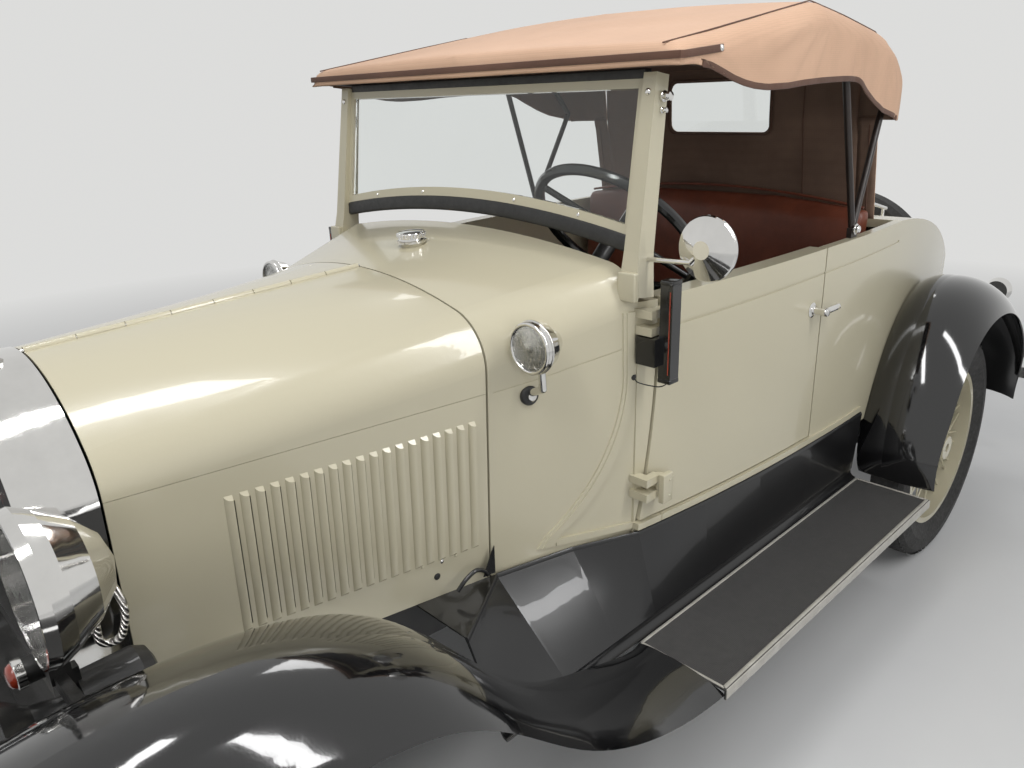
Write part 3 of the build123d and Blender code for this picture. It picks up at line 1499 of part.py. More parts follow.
def make_spare(shape):
    """Turn a wheel or tyre that was made across the car so that it faces backwards."""
    centre = (0, along(SPARE_DISTANCE), SPARE_Z)
    return shape.moved(Location(centre) * Location((0, 0, 0), (0, 0, 90)) * Location((0, -along(0), -SPARE_Z)))


def make_tail_lamp(side):
    """Round tail lamp on a bracket on the fender."""
    points = [(3118, 0), (3118, 36), (3150, 44), (3160, 40), (3166, 0)]
    shape = turned_lengthwise(points, side * 700.0, 820.0)
    x = side * 700.0
    return shape + bar_chain([(x, along(3060.3), 712.3), (x, along(3122), 745.6), (x, along(3135), 800)], 8)


COLUMN_RADIUS = 20.0


def column_ends():
    """Lower end at the firewall and upper end under the steering wheel's hub."""
    slope = math.radians(column_slope)
    top_y = along(steering_wheel_distance)
    firewall = hood_rear + 6 + seat_gap
    reach = (steering_wheel_distance - firewall - COLUMN_RADIUS * math.sin(slope)) / math.cos(slope)
    places = []
    for length in (reach, 12.0 + seat_gap):
        places.append((steering_wheel_x, top_y - length * math.cos(slope), steering_wheel_z - length * math.sin(slope)))
    return places


def make_controls():
    """Steering column."""
    low, high = column_ends()
    return rod(low, high, COLUMN_RADIUS)


PEDALS = (180.0, 260.0, 335.0)
FLOOR_BOARD = 12.0


def make_levers():
    """Gear lever, hand brake and pedals, standing on the floor and toe board."""
    base = body_bottom + 12 + seat_gap
    gear = bar_chain([(0, along(1330), base + 8), (0, along(1360), 760), (0, along(1440), 960)], 7)
    gear += Pos(0, along(1440), 966) * Sphere(22)
    gear += rod((0, along(1330), base), (0, along(1330), base + 18), 60)
    brake = bar_chain([(-50, along(1330), base + 10), (-60, along(1330), 700), (-60, along(1385), 880)], 6)
    pedals = None
    for x in PEDALS:
        pedal = rod((x, along(1030), 600), (x, along(1078), 712), 7)
        pedal += block((x - 30, x + 30), (1062, 1074), (690, 752))
        pedals = pedal if pedals is None else pedals + pedal
    board = [(hood_rear + 8, 690 + 1.4 * FLOOR_BOARD), (1120 + FLOOR_BOARD, body_bottom + FLOOR_BOARD)]
    line = [(d, z + seat_gap) for d, z in board]
    below = side_prism((line[0][0], 500), lines(line[0], line[1], (line[1][0], 500)), (-500, 500))
    return gear + brake + (pedals - below).solids()


def make_steering_wheel():
    """Rim, four spokes and hub, square to the column."""
    slope = math.radians(column_slope)
    centre = Vector(steering_wheel_x, along(steering_wheel_distance), steering_wheel_z)
    axis = Vector(0, math.cos(slope), math.sin(slope))
    plane = Plane(origin=centre, x_dir=(1, 0, 0), z_dir=axis)
    corners = []
    for index in range(10):
        turn = math.radians(36 * index)
        corners.append((steering_wheel_radius - 13 + 13 * math.cos(turn), 13 * math.sin(turn)))
    face = Face(outline(corners[0], lines(*corners[1:]), lambda r, up: tuple(plane.from_local_coords(Vector(r, 0, up)))))
    shape = revolve(face, Axis(centre, axis))
    shape += plane.location * Cylinder(32, 24)
    for index in range(4):
        angle = math.radians(45 + 90 * index)
        tip = plane.from_local_coords(
            Vector((steering_wheel_radius - 14) * math.cos(angle), (steering_wheel_radius - 14) * math.sin(angle), 0)
        )
        shape += rod(tuple(centre), tuple(tip), 8)
    return shape


def write_chassis():
    """Nodes of the running gear."""
    save("frame", make_frame())
    save("front_axle", make_front_axle())
    save("rear_axle", make_rear_axle())
    save("engine_block", make_engine())
    save("exhaust", make_exhaust())
    left = make_knuckle()
    save("knuckle_left", left)
    save("knuckle_right", mirror(left, about=Plane.YZ))
    save("tie_rod", make_tie_rod())
    for name, side, distance in (
        ("front_left", 1, 0), ("front_right", -1, 0), ("rear_left", 1, wheelbase), ("rear_right", -1, wheelbase),
    ):
        save(f"wheel_{name}", make_wheel(side * half_track, distance, side, True))
        save(f"tyre_{name}", make_tyre(side * half_track, distance, tyre_radius))
    save("spare_wheel", make_spare(make_wheel(0, 0, 1, False)))
    save("spare_tyre", make_spare(make_tyre(0, 0, SPARE_Z)))


def write_body():
    """Nodes of the body."""
    save("radiator_shell", make_radiator_shell())
    save("radiator_core", make_radiator_core())
    cowl = make_cowl()
    for side in (1, -1):
        for z in DOOR_HINGES:
            leaf = pillar_leaf(z)
            cowl = cowl + (leaf if side == 1 else mirror(leaf, about=Plane.YZ))
    save("cowl", cowl)
    shell = body_shell()
    save("rear_body", make_rear_body(shell))
    save("luggage_lid", make_lid(shell))
    door = make_door(shell)
    save("door_left", door)
    save("door_right", mirror(door, about=Plane.YZ))
    save("floor", make_floor())
    save("dashboard", make_dashboard())
    save("hood_rod", make_hood_rod())
    top = make_hood_top()
    save("hood_top_left", top - hood_barrels(1, 1) + hood_barrels(0, 0) - hinge_bore())
    save("hood_top_right", mirror(top, about=Plane.YZ) - hood_barrels(0, 1) + hood_barrels(1, 0) - hinge_bore())
    side_panel = make_hood_side()
    save("hood_side_left", side_panel)
    save("hood_side_right", mirror(side_panel, about=Plane.YZ))
    save("windshield_posts", *make_posts())
    save("windshield_frame", make_screen_frame())
    save("windshield_glass", make_screen_glass())
    save("front_fenders", *both_sides(make_fender(FRONT_FENDER)))
    rear_fender = make_fender(REAR_FENDER) - body_plan(-seat_gap, (300, 1200))
    save("rear_fenders", *both_sides(rear_fender))
    save("splash_aprons", *both_sides(make_apron()))
    save("running_boards", *both_sides(make_board()))


def write_fittings():
    """Nodes of the lamps, seats, top and bumpers."""
    save("seat_cushion", make_seat_cushion())
    save("seat_back", make_seat_back())
    save("canopy", make_canopy())
    save("rear_curtain", make_curtain())
    save("rear_window", make_rear_window())
    save("top_frame", make_top_frame())
    save("headlamps", make_headlamp(1), make_headlamp(-1))
    save("lamp_lenses", make_lens(1), make_lens(-1))
    save("lamp_bar", make_lamp_bar())
    save("horn", make_horn())
    save("cowl_lamps", make_cowl_lamp(1), make_cowl_lamp(-1))
    save("headlamp_conduits", make_conduit(1), make_conduit(-1))
    save("top_rests", make_top_rest(1), make_top_rest(-1))
    save("mirror", make_mirror())
    save("trafficators", make_trafficator(1), make_trafficator(-1))
    save("front_bumper", make_front_bumper())
    save("rear_bumpers", make_rear_bumper(1), make_rear_bumper(-1))
    save("tail_lamps", make_tail_lamp(1), make_tail_lamp(-1))
    save("steering_column", make_controls())
    save("levers", make_levers())
    save("steering_wheel", make_steering_wheel())


write_chassis()
write_body()
write_fittings()
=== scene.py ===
import json
import math
from contextlib import contextmanager

import bmesh
import bpy
from mathutils import Matrix, Vector, noise
from mathutils.bvhtree import BVHTree


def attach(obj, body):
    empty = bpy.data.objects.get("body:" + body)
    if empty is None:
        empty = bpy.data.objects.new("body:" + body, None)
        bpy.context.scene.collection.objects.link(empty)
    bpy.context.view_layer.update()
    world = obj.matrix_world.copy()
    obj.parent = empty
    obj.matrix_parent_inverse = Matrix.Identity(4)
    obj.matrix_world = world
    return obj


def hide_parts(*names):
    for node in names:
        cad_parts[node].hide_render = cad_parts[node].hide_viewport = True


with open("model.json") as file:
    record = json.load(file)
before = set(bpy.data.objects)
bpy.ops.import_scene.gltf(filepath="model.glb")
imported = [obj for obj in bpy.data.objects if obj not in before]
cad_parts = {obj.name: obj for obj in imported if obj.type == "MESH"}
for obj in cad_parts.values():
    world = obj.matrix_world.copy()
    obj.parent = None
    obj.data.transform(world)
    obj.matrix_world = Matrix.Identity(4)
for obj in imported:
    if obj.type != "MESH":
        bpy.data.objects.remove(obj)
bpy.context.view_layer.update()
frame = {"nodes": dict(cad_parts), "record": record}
NODES = frame["nodes"]

# Metres. +X is the car's left, the front points to -Y. Distances are measured behind the front axle.
FRONT_AXLE_Y = -1.4845
SIDES = (("l", 1), ("r", -1))
SIDE_WORDS = {"l": "left", "r": "right"}


def along(distance):
    """Y of a place told as a distance behind the front axle."""
    return FRONT_AXLE_Y + distance


def distance_of(place):
    """How far a place lies behind the front axle."""
    return place.y - FRONT_AXLE_Y


# Materials

class Paint:
    """A material being built: a Principled shader and the nodes that feed it."""

    def __init__(self, name, **settings):
        self.material = bpy.data.materials.new(name)
        self.material.use_nodes = True
        self.tree = self.material.node_tree
        self.shader = self.tree.nodes["Principled BSDF"]
        self.place = self.node("ShaderNodeTexCoord").outputs["Object"]
        for socket, value in settings.items():
            self.shader.inputs[socket.replace("_", " ").title().replace("Ior", "IOR")].default_value = value

    def node(self, kind, **values):
        """A node with some of its sockets or properties set."""
        made = self.tree.nodes.new(kind)
        for key, value in values.items():
            if hasattr(made, key):
                setattr(made, key, value)
            else:
                made.inputs[key.replace("_", " ").title()].default_value = value
        return made

    def link(self, output, socket):
        self.tree.links.new(output, socket)

    def noise(self, scale, detail=3.0, roughness=0.55):
        made = self.node("ShaderNodeTexNoise", scale=scale, detail=detail, roughness=roughness)
        self.link(self.place, made.inputs["Vector"])
        return made.outputs["Fac"]

    def cells(self, scale):
        made = self.node("ShaderNodeTexVoronoi", feature="SMOOTH_F1", scale=scale)
        self.link(self.place, made.inputs["Vector"])
        return made.outputs["Distance"]

    def waves(self, scale, direction, distortion=0.0):
        made = self.node("ShaderNodeTexWave", bands_direction=direction, scale=scale, distortion=distortion)
        self.link(self.place, made.inputs["Vector"])
        return made.outputs["Fac"]

    def ramp(self, value, *stops):
        """Colours at places along a value from 0 to 1."""
        made = self.node("ShaderNodeValToRGB")
        ends = made.color_ramp.elements
        while len(ends) < len(stops):
            ends.new(0.5)
        for element, (place, colour) in zip(ends, stops):
            element.position = place
            element.color = (*colour, 1.0)
        self.link(value, made.inputs["Fac"])
        return made.outputs["Color"]

    def span(self, value, low, high, start=0.0, end=1.0):
        """A value mapped from one range to another."""
        made = self.node("ShaderNodeMapRange")
        for name, number in (("From Min", low), ("From Max", high), ("To Min", start), ("To Max", end)):
            made.inputs[name].default_value = number
        self.link(value, made.inputs["Value"])
        return made.outputs["Result"]

    def maths(self, operation, first, second):
        made = self.node("ShaderNodeMath", operation=operation)
        for socket, value in zip(made.inputs, (first, second)):
            if isinstance(value, (int, float)):
                socket.default_value = value
            else:
                self.link(value, socket)
        return made.outputs["Value"]

    def colour(self, output):
        self.link(output, self.shader.inputs["Base Color"])

    def rough(self, value, low, high):
        self.link(self.span(value, 0.25, 0.75, low, high), self.shader.inputs["Roughness"])

    def bump(self, *layers):
        """Heights in metres, each with its own output from 0 to 1, laid over each other."""
        normal = None
        for output, height in layers:
            made = self.node("ShaderNodeBump")
            made.inputs["Strength"].default_value = 1.0
            made.inputs["Distance"].default_value = height
            self.link(output, made.inputs["Height"])
            if normal:
                self.link(normal, made.inputs["Normal"])
            normal = made.outputs["Normal"]
        self.link(normal, self.shader.inputs["Normal"])


def enamel(name, light, dark, roughness, coat):
    """Polished coach enamel with a slight flow of the paint."""
    paint = Paint(name, roughness=roughness, coat_weight=coat, coat_roughness=0.03, ior=1.5)
    cloudy = paint.noise(1.6, 1.0)
    paint.colour(paint.ramp(cloudy, (0.3, dark), (0.7, light)))
    paint.rough(paint.noise(4.0, 1.0), roughness * 0.94, roughness * 1.06)
    paint.bump((paint.noise(260.0, 1.0), 0.00004), (paint.noise(5.0, 1.0), 0.0003))
    return paint.material


def bright_plate(name, colour=(0.80, 0.79, 0.77), roughness=0.06):
    """Polished plating with hairline marks and slight waves."""
    paint = Paint(name, metallic=1.0, roughness=roughness)
    paint.colour(paint.ramp(paint.noise(14.0, 5.0), (0.3, tuple(c * 0.9 for c in colour)), (0.7, colour)))
    paint.rough(paint.noise(60.0, 6.0), roughness * 0.6, roughness * 1.8)
    paint.bump((paint.noise(18.0, 2.0), 0.0003))
    return paint.material


def armoured(name):
    """Flexible conduit of wound bright strip."""
    paint = Paint(name, metallic=1.0, roughness=0.22)
    turns = paint.waves(78.0, "DIAGONAL")
    paint.colour(paint.ramp(turns, (0.15, (0.20, 0.19, 0.18)), (0.6, (0.74, 0.72, 0.69))))
    paint.rough(paint.noise(50.0, 5.0), 0.18, 0.34)
    paint.bump((turns, 0.0018))
    return paint.material


def rubber(name, light, dark, roughness=0.6):
    """Matt rubber with dust in its low places."""
    paint = Paint(name, roughness=roughness)
    paint.colour(paint.ramp(paint.noise(24.0, 8.0, 0.7), (0.35, dark), (0.7, light)))
    paint.rough(paint.noise(90.0, 4.0), roughness * 0.8, min(1.0, roughness * 1.25))
    paint.bump((paint.noise(900.0, 3.0), 0.0002), (paint.noise(40.0, 3.0), 0.0004))
    return paint.material


def cloth(name, light, dark, thread=0.0011, sheen=0.25):
    """Plain woven canvas: crossing threads, faded and creased."""
    paint = Paint(name, roughness=0.9, sheen_weight=sheen, sheen_roughness=0.4, specular_ior_level=0.2)
    turns = 1.0 / thread / math.tau * 0.5
    across = paint.waves(turns, "X", 0.6)
    length = paint.waves(turns, "Y", 0.6)
    rise = paint.waves(turns, "Z", 0.6)
    weave = paint.maths("ADD", paint.maths("MULTIPLY", across, length), paint.maths("MULTIPLY", rise, 0.5))
    faded = paint.noise(3.0, 6.0, 0.6)
    base = paint.ramp(faded, (0.3, dark), (0.72, light))
    shade = paint.ramp(weave, (0.0, (0.78, 0.78, 0.78)), (0.8, (1.0, 1.0, 1.0)))
    mixed = paint.node("ShaderNodeMix", data_type="RGBA", blend_type="MULTIPLY")
    mixed.inputs["Factor"].default_value = 0.4
    sockets = [s for s in mixed.inputs if s.type == "RGBA"]
    paint.link(base, sockets[0])
    paint.link(shade, sockets[1])
    paint.colour([s for s in mixed.outputs if s.type == "RGBA"][0])
    paint.bump((weave, 0.00015), (paint.noise(9.0, 5.0, 0.5), 0.003), (paint.noise(35.0, 3.0), 0.0008))
    return paint.material


def leather(name, light, dark):
    """Grained upholstery leather with worn high places."""
    paint = Paint(name, roughness=0.42, coat_weight=0.15, coat_roughness=0.3)
    grain = paint.cells(420.0)
    wear = paint.noise(6.0, 6.0, 0.65)
    paint.colour(paint.ramp(wear, (0.32, dark), (0.7, light)))
    paint.rough(paint.noise(30.0, 5.0), 0.32, 0.55)
    paint.bump((grain, 0.0005), (paint.noise(28.0, 6.0, 0.6), 0.0012))
    return paint.material


def clear_glass(name, tint=(0.93, 0.96, 0.95)):
    """Flat glass with faint dust."""
    paint = Paint(name, transmission_weight=1.0, roughness=0.0, ior=1.45)
    paint.colour(paint.ramp(paint.noise(3.0, 6.0), (0.3, tuple(c * 0.97 for c in tint)), (0.8, tint)))
    paint.rough(paint.noise(40.0, 8.0), 0.0, 0.02)
    return paint.material


def ribbed_glass(name):
    """Pressed lamp glass with upright flutes and a stippled middle."""
    paint = Paint(name, transmission_weight=1.0, roughness=0.03, ior=1.48)
    flutes = paint.waves(95.0, "X")
    dimples = paint.cells(150.0)
    paint.colour(paint.ramp(paint.noise(30.0, 4.0), (0.3, (0.93, 0.94, 0.93)), (0.7, (0.98, 0.98, 0.97))))
    paint.bump((flutes, 0.0022), (dimples, 0.0012))
    return paint.material


def tinted_glass(name, light, dark):
    """Coloured lamp glass over its plate, with a fine stipple."""
    paint = Paint(name, roughness=0.12, coat_weight=1.0, coat_roughness=0.03)
    paint.colour(paint.ramp(paint.noise(80.0, 4.0), (0.3, dark), (0.7, light)))
    paint.bump((paint.cells(300.0), 0.0005))
    return paint.material


def cast_metal(name, light, dark, roughness=0.5, metallic=0.0):
    """Painted forging or casting with a slightly rough skin."""
    paint = Paint(name, roughness=roughness, metallic=metallic, coat_weight=0.2)
    paint.colour(paint.ramp(paint.noise(30.0, 6.0, 0.65), (0.3, dark), (0.7, light)))
    paint.rough(paint.noise(60.0, 4.0), roughness * 0.8, roughness * 1.2)
    paint.bump((paint.noise(220.0, 4.0), 0.0003))
    return paint.material


def ribbed_mat(name, light, dark):
    """Running board mat: fine ribs along the board."""
    pitch = 0.006
    paint = Paint(name, roughness=0.72)
    ribs = paint.waves(0.5 / pitch, "X")
    grit = paint.noise(60.0, 8.0, 0.75)
    paint.colour(paint.ramp(grit, (0.3, dark), (0.75, light)))
    paint.rough(grit, 0.6, 0.85)
    paint.bump((ribs, 0.0012), (paint.noise(700.0, 3.0), 0.0003))
    return paint.material


CREAM = enamel("cream_enamel", (0.560, 0.515, 0.375), (0.548, 0.503, 0.365), 0.24, 0.5)
BLACK = enamel("black_enamel", (0.0055, 0.0055, 0.006), (0.004, 0.004, 0.0045), 0.10, 0.9)
APRON_BLACK = enamel("apron_enamel", (0.0075, 0.0075, 0.008), (0.005, 0.005, 0.0055), 0.30, 0.35)
ARMOUR = armoured("armoured_conduit")
CHASSIS = cast_metal("chassis_black", (0.020, 0.019, 0.018), (0.011, 0.011, 0.011), 0.45)
ENGINE = cast_metal("engine_green", (0.030, 0.052, 0.036), (0.018, 0.034, 0.024), 0.55)
CHROME = bright_plate("bright_plate")
RADIATOR = cast_metal("radiator_core", (0.030, 0.028, 0.026), (0.012, 0.012, 0.012), 0.6)
GLASS = clear_glass("clear_glass")
LENS = ribbed_glass("ribbed_glass")
REFLECTOR = bright_plate("lamp_reflector", (0.90, 0.90, 0.88), 0.12)
STRIP = cast_metal("board_strip", (0.52, 0.50, 0.45), (0.38, 0.36, 0.32), 0.38, 0.2)
RUBBER = rubber("black_rubber", (0.030, 0.030, 0.029), (0.016, 0.016, 0.016), 0.5)
AMBER = tinted_glass("amber_edge", (0.42, 0.045, 0.014), (0.30, 0.028, 0.009))
DIAL = enamel("dial_face", (0.045, 0.045, 0.043), (0.030, 0.030, 0.029), 0.35, 0.3)
MAT = ribbed_mat("board_mat", (0.075, 0.072, 0.070), (0.040, 0.039, 0.038))
LEATHER = leather("brown_leather", (0.230, 0.062, 0.030), (0.125, 0.032, 0.017))
CANVAS = cloth("tan_canvas", (0.720, 0.475, 0.330), (0.640, 0.415, 0.285), sheen=0.06)
# The lining's browns are lighter than the cloth itself: painted light that stands in for light coming through
# the canvas
LINING = cloth("brown_lining", (0.270, 0.178, 0.130), (0.165, 0.108, 0.080), thread=0.0014, sheen=0.06)
BINDING = cloth("brown_binding", (0.175, 0.095, 0.068), (0.110, 0.062, 0.045), thread=0.0009)
FLOOR_MAT = rubber("floor_mat", (0.030, 0.029, 0.028), (0.015, 0.015, 0.015))
GLOSS_BLACK = enamel("gloss_black", (0.010, 0.010, 0.010), (0.006, 0.006, 0.006), 0.18, 0.5)
IRON = cast_metal("top_irons", (0.030, 0.020, 0.016), (0.014, 0.010, 0.009), 0.4)
TYRE = rubber("tyre_rubber", (0.030, 0.029, 0.028), (0.015, 0.0145, 0.014), 0.7)

SLOT_MATERIALS = {
    "chassis_black": CHASSIS, "engine_grey": ENGINE, "fender_black": BLACK, "body_cream": CREAM,
    "chrome": CHROME, "radiator_dark": RADIATOR, "clear_glass": GLASS, "board_mat": MAT,
    "leather_brown": LEATHER, "canvas_tan": CANVAS, "lining_brown": LINING, "floor_black": FLOOR_MAT,
    "dash_black": GLOSS_BLACK, "bow_brown": IRON, "tyre": TYRE,
}

NODE_MATERIALS = {"lamp_lenses": LENS, "headlamp_conduits": ARMOUR, "splash_aprons": APRON_BLACK}


def dress_nodes():
    """Give every CAD node the material of its slot, or its own where it differs."""
    for part in frame["record"]["subparts"]:
        mesh = NODES[part["node"]].data
        mesh.materials.clear()
        mesh.materials.append(NODE_MATERIALS.get(part["node"], SLOT_MATERIALS[part["material_slot"]]))


# Meshes

def place_mesh(name, mesh, material, body, smooth=True):
    """A finished mesh as a piece that rides on a body."""
    mesh.materials.append(material)
    if smooth:
        mesh.shade_smooth()
    piece = bpy.data.objects.new(name, mesh)
    bpy.context.scene.collection.objects.link(piece)
    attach(piece, body)
    return piece


def make_piece(name, points, faces, material, body="chassis", slot=None, smooth=True):
    """A piece made from points and faces."""
    mesh = bpy.data.meshes.new(name)
    mesh.from_pydata([tuple(p) for p in points], [], faces)
    return place_mesh(name, mesh, material, body, smooth)


@contextmanager
def edited(piece):
    """A piece's mesh opened for changes, which are written back afterwards."""
    made = bmesh.new()
    made.from_mesh(piece.data)
    yield made
    made.to_mesh(piece.data)
    made.free()


def grid_faces(rows, columns, closed=False, start=0):
    """Quads between rows of equal length."""
    faces = []
    for row in range(rows - 1):
        for column in range(columns if closed else columns - 1):
            following = (column + 1) % columns
            a = start + row * columns
            b = a + columns
            faces.append((a + column, a + following, b + following, b + column))
    return faces


def capped_faces(rows, columns):
    """Quads between closed rings, with a face over each end."""
    faces = grid_faces(rows, columns, True)
    faces.append(tuple(range(columns))[::-1])
    faces.append(tuple(range((rows - 1) * columns, rows * columns)))
    return faces


def sharpen(piece, degrees):
    """Keep the edges sharper than an angle sharp under smooth shading."""
    with edited(piece) as made:
        bmesh.ops.recalc_face_normals(made, faces=made.faces)
        for edge in made.edges:
            if len(edge.link_faces) == 2 and edge.calc_face_angle(0.0) > math.radians(degrees):
                edge.smooth = False


def circle(steps):
    """Angles of equal steps round a circle."""
    return [math.tau * step / steps for step in range(steps)]


def ring(centre, radius, steps):
    """Places round an upright circle that faces the front."""
    x, y, z = centre
    return [Vector((x + radius * math.cos(a), y, z + radius * math.sin(a))) for a in circle(steps)]


def lathe(name, profile, place, axis, material, body="chassis", slot=None, steps=40):
    """A turned piece: profile of (radius, rise) along an axis from a place, in metres."""
    turn = Vector(axis).normalized().to_track_quat("Z", "Y").to_matrix()
    points = []
    for radius, rise in profile:
        for angle in circle(steps):
            point = turn @ Vector((radius * math.cos(angle), radius * math.sin(angle), rise))
            points.append(point + Vector(place))
    sharpen(make_piece(name, points, capped_faces(len(profile), steps), material, body, slot), 35)


def tube(name, places, radius, material, body="chassis", steps=10, closed=False):
    """A round bar or welt along places."""
    points = []
    places = [Vector(p) for p in places]
    count = len(places)
    side = None
    for index, place in enumerate(places):
        ahead = places[(index + 1) % count] if closed or index + 1 < count else place
        behind = places[index - 1] if closed or index > 0 else place
        way = (ahead - behind).normalized()
        if side is None:
            side = way.orthogonal().normalized()
        side = (side - way * side.dot(way)).normalized()
        over = way.cross(side)
        for angle in circle(steps):
            points.append(place + (side * math.cos(angle) + over * math.sin(angle)) * radius)
    if closed:
        faces = grid_faces(count, steps, True)
        last = (count - 1) * steps
        faces += [(last + s, last + (s + 1) % steps, (s + 1) % steps, s) for s in range(steps)]
    else:
        faces = capped_faces(count, steps)
    piece = make_piece(name, points, faces, material, body)
    sharpen(piece, 50)
    return piece


def ribbon(name, places, normals, width, thickness, material, slot=None):
    """A flat band with soft edges laid on a surface along places."""
    # Columns: share of the width, share of the thickness
    section = [(-0.5, 0.0), (-0.47, 0.7), (-0.36, 1.0), (0.36, 1.0), (0.47, 0.7), (0.5, 0.0)]
    points = []
    places = [Vector(p) for p in places]
    last = len(places) - 1
    for index, place in enumerate(places):
        normal = Vector(normals[index]).normalized()
        over = (places[min(index + 1, last)] - places[max(index - 1, 0)]).cross(normal).normalized()
        points += [place + over * across * width + normal * rise * thickness for across, rise in section]
    sharpen(make_piece(name, points, capped_faces(len(places), len(section)), material, slot=slot), 50)


def rounded_block(name, rounding, size, material, place, body="chassis"):
    """A block with rounded edges, of a whole size round its middle."""
    made = bmesh.new()
    bmesh.ops.create_cube(made, size=1.0)
    for vert in made.verts:
        vert.co = Vector((vert.co.x * size[0], vert.co.y * size[1], vert.co.z * size[2]))
    bmesh.ops.bevel(made, geom=list(made.edges), offset=rounding, segments=3, profile=0.6, affect="EDGES")
    for vert in made.verts:
        vert.co = vert.co + Vector(place)
    mesh = bpy.data.meshes.new(name)
    made.to_mesh(mesh)
    made.free()
    sharpen(place_mesh(name, mesh, material, body), 40)


def thicken(piece, thickness, inner_slot=0):
    """Give a cloth or sheet its thickness, inwards, with the other face in its own material."""
    solid = piece.modifiers.new("thickness", "SOLIDIFY")
    solid.thickness = thickness
    solid.offset = -1.0
    solid.material_offset = inner_slot
    solid.material_offset_rim = 0
    apply_modifiers(piece)


def apply_modifiers(piece):
    """Turn a piece's modifiers into its mesh."""
    graph = bpy.context.evaluated_depsgraph_get()
    done = bpy.data.meshes.new_from_object(piece.evaluated_get(graph), depsgraph=graph)
    piece.modifiers.clear()
    piece.data = done


def row_value(rows, at, column):
    """A column's value between a table's rows."""
    for first, second in zip(rows, rows[1:]):
        if at <= second[0]:
            break
    share = (at - first[0]) / (second[0] - first[0])
    return first[column] + (second[column] - first[column]) * min(1.0, max(0.0, share))


def smooth_path(points, count):
    """Places along a smooth line through a few points."""
    points = [Vector(p) for p in points]
    padded = [points[0] * 2 - points[1], *points, points[-1] * 2 - points[-2]]
    places = []
    for index in range(1, len(padded) - 2):
        a, b, c, d = padded[index - 1:index + 3]
        for step in range(count):
            t = step / count
            slope = (c - a) * t
            bend = (2 * a - 5 * b + 4 * c - d) * t * t
            twist = (3 * b - a - 3 * c + d) * t ** 3
            places.append(0.5 * (2 * b + slope + bend + twist))
    places.append(points[-1])
    return places


def node_tree(node):
    """A search tree over a CAD node's faces."""
    mesh = NODES[node].data
    places = [v.co.copy() for v in mesh.vertices]
    return BVHTree.FromPolygons(places, [tuple(p.vertices) for p in mesh.polygons])


def side_face(tree, side, at, height):
    """The place on a node's outer face that is seen level from its side of the car."""
    return tree.ray_cast(Vector((side * 0.9, along(at), height)), Vector((-side, 0, 0)), 0.7)[0]


# Soft top

# Columns: distance, half width, height of the crown
ROOF_ROWS = [
    (1.190, 0.628, 1.630), (1.560, 0.631, 1.706), (1.750, 0.624, 1.742), (1.940, 0.615, 1.722),
    (2.160, 0.604, 1.694), (2.250, 0.600, 1.664),
]
# Columns: distance, height of the valance's lower edge
HEM_ROWS = [
    (1.190, 1.580), (1.250, 1.5795), (1.290, 1.575), (1.330, 1.564), (1.370, 1.552), (1.410, 1.543),
    (1.450, 1.537), (1.502, 1.533), (1.590, 1.535), (1.674, 1.541), (1.780, 1.545), (1.871, 1.547),
    (1.920, 1.547), (1.962, 1.545), (2.000, 1.533), (2.037, 1.515), (2.100, 1.488), (2.160, 1.468),
    (2.240, 1.453), (2.2725, 1.4430), (2.400, 1.4400),
]
# Folds that run from a bow's corner. Columns: distance, height, angle, spread, reach, rise
FOLDS = [
    (1.80, 1.715, 186.0, 5.0, 0.50, 0.0050), (1.80, 1.715, 199.0, 5.5, 0.46, 0.0055),
    (1.80, 1.715, 214.0, 7.0, 0.34, 0.0040), (1.80, 1.700, 232.0, 8.0, 0.25, 0.0030),
    (1.93, 1.700, 262.0, 7.0, 0.24, 0.0030), (1.93, 1.700, 288.0, 7.0, 0.30, 0.0042),
    (2.16, 1.670, 262.0, 8.0, 0.24, 0.0032), (2.16, 1.670, 296.0, 8.0, 0.26, 0.0040),
    (1.22, 1.620, 352.0, 6.0, 0.30, 0.0030), (1.22, 1.615, 8.0, 5.0, 0.36, 0.0028),
]
# Columns: distance, x
SHOULDER_SEAM = [
    (1.196, 0.585), (1.230, 0.588), (1.331, 0.592), (1.512, 0.590), (1.640, 0.586), (1.737, 0.582),
    (1.800, 0.580), (1.922, 0.575), (2.040, 0.570), (2.160, 0.562), (2.225, 0.556), (2.268, 0.548),
]
BOWS = (1.21, 1.56, 1.75, 1.94, 2.16)
SAG = 0.0035
TOP_FRONT, TOP_BACK = 1.250, 2.230
TOP_SHELL_INSET = 0.060
TOP_CLOTH = 0.0035
FLAT_COLUMNS, CORNER_COLUMNS, SIDE_COLUMNS = 24, 8, 12
FOLDED_COLUMN = 22
BAND_Z = 1.5985
CURTAIN_HALF = 0.4695
CURTAIN_TOP = 1.604


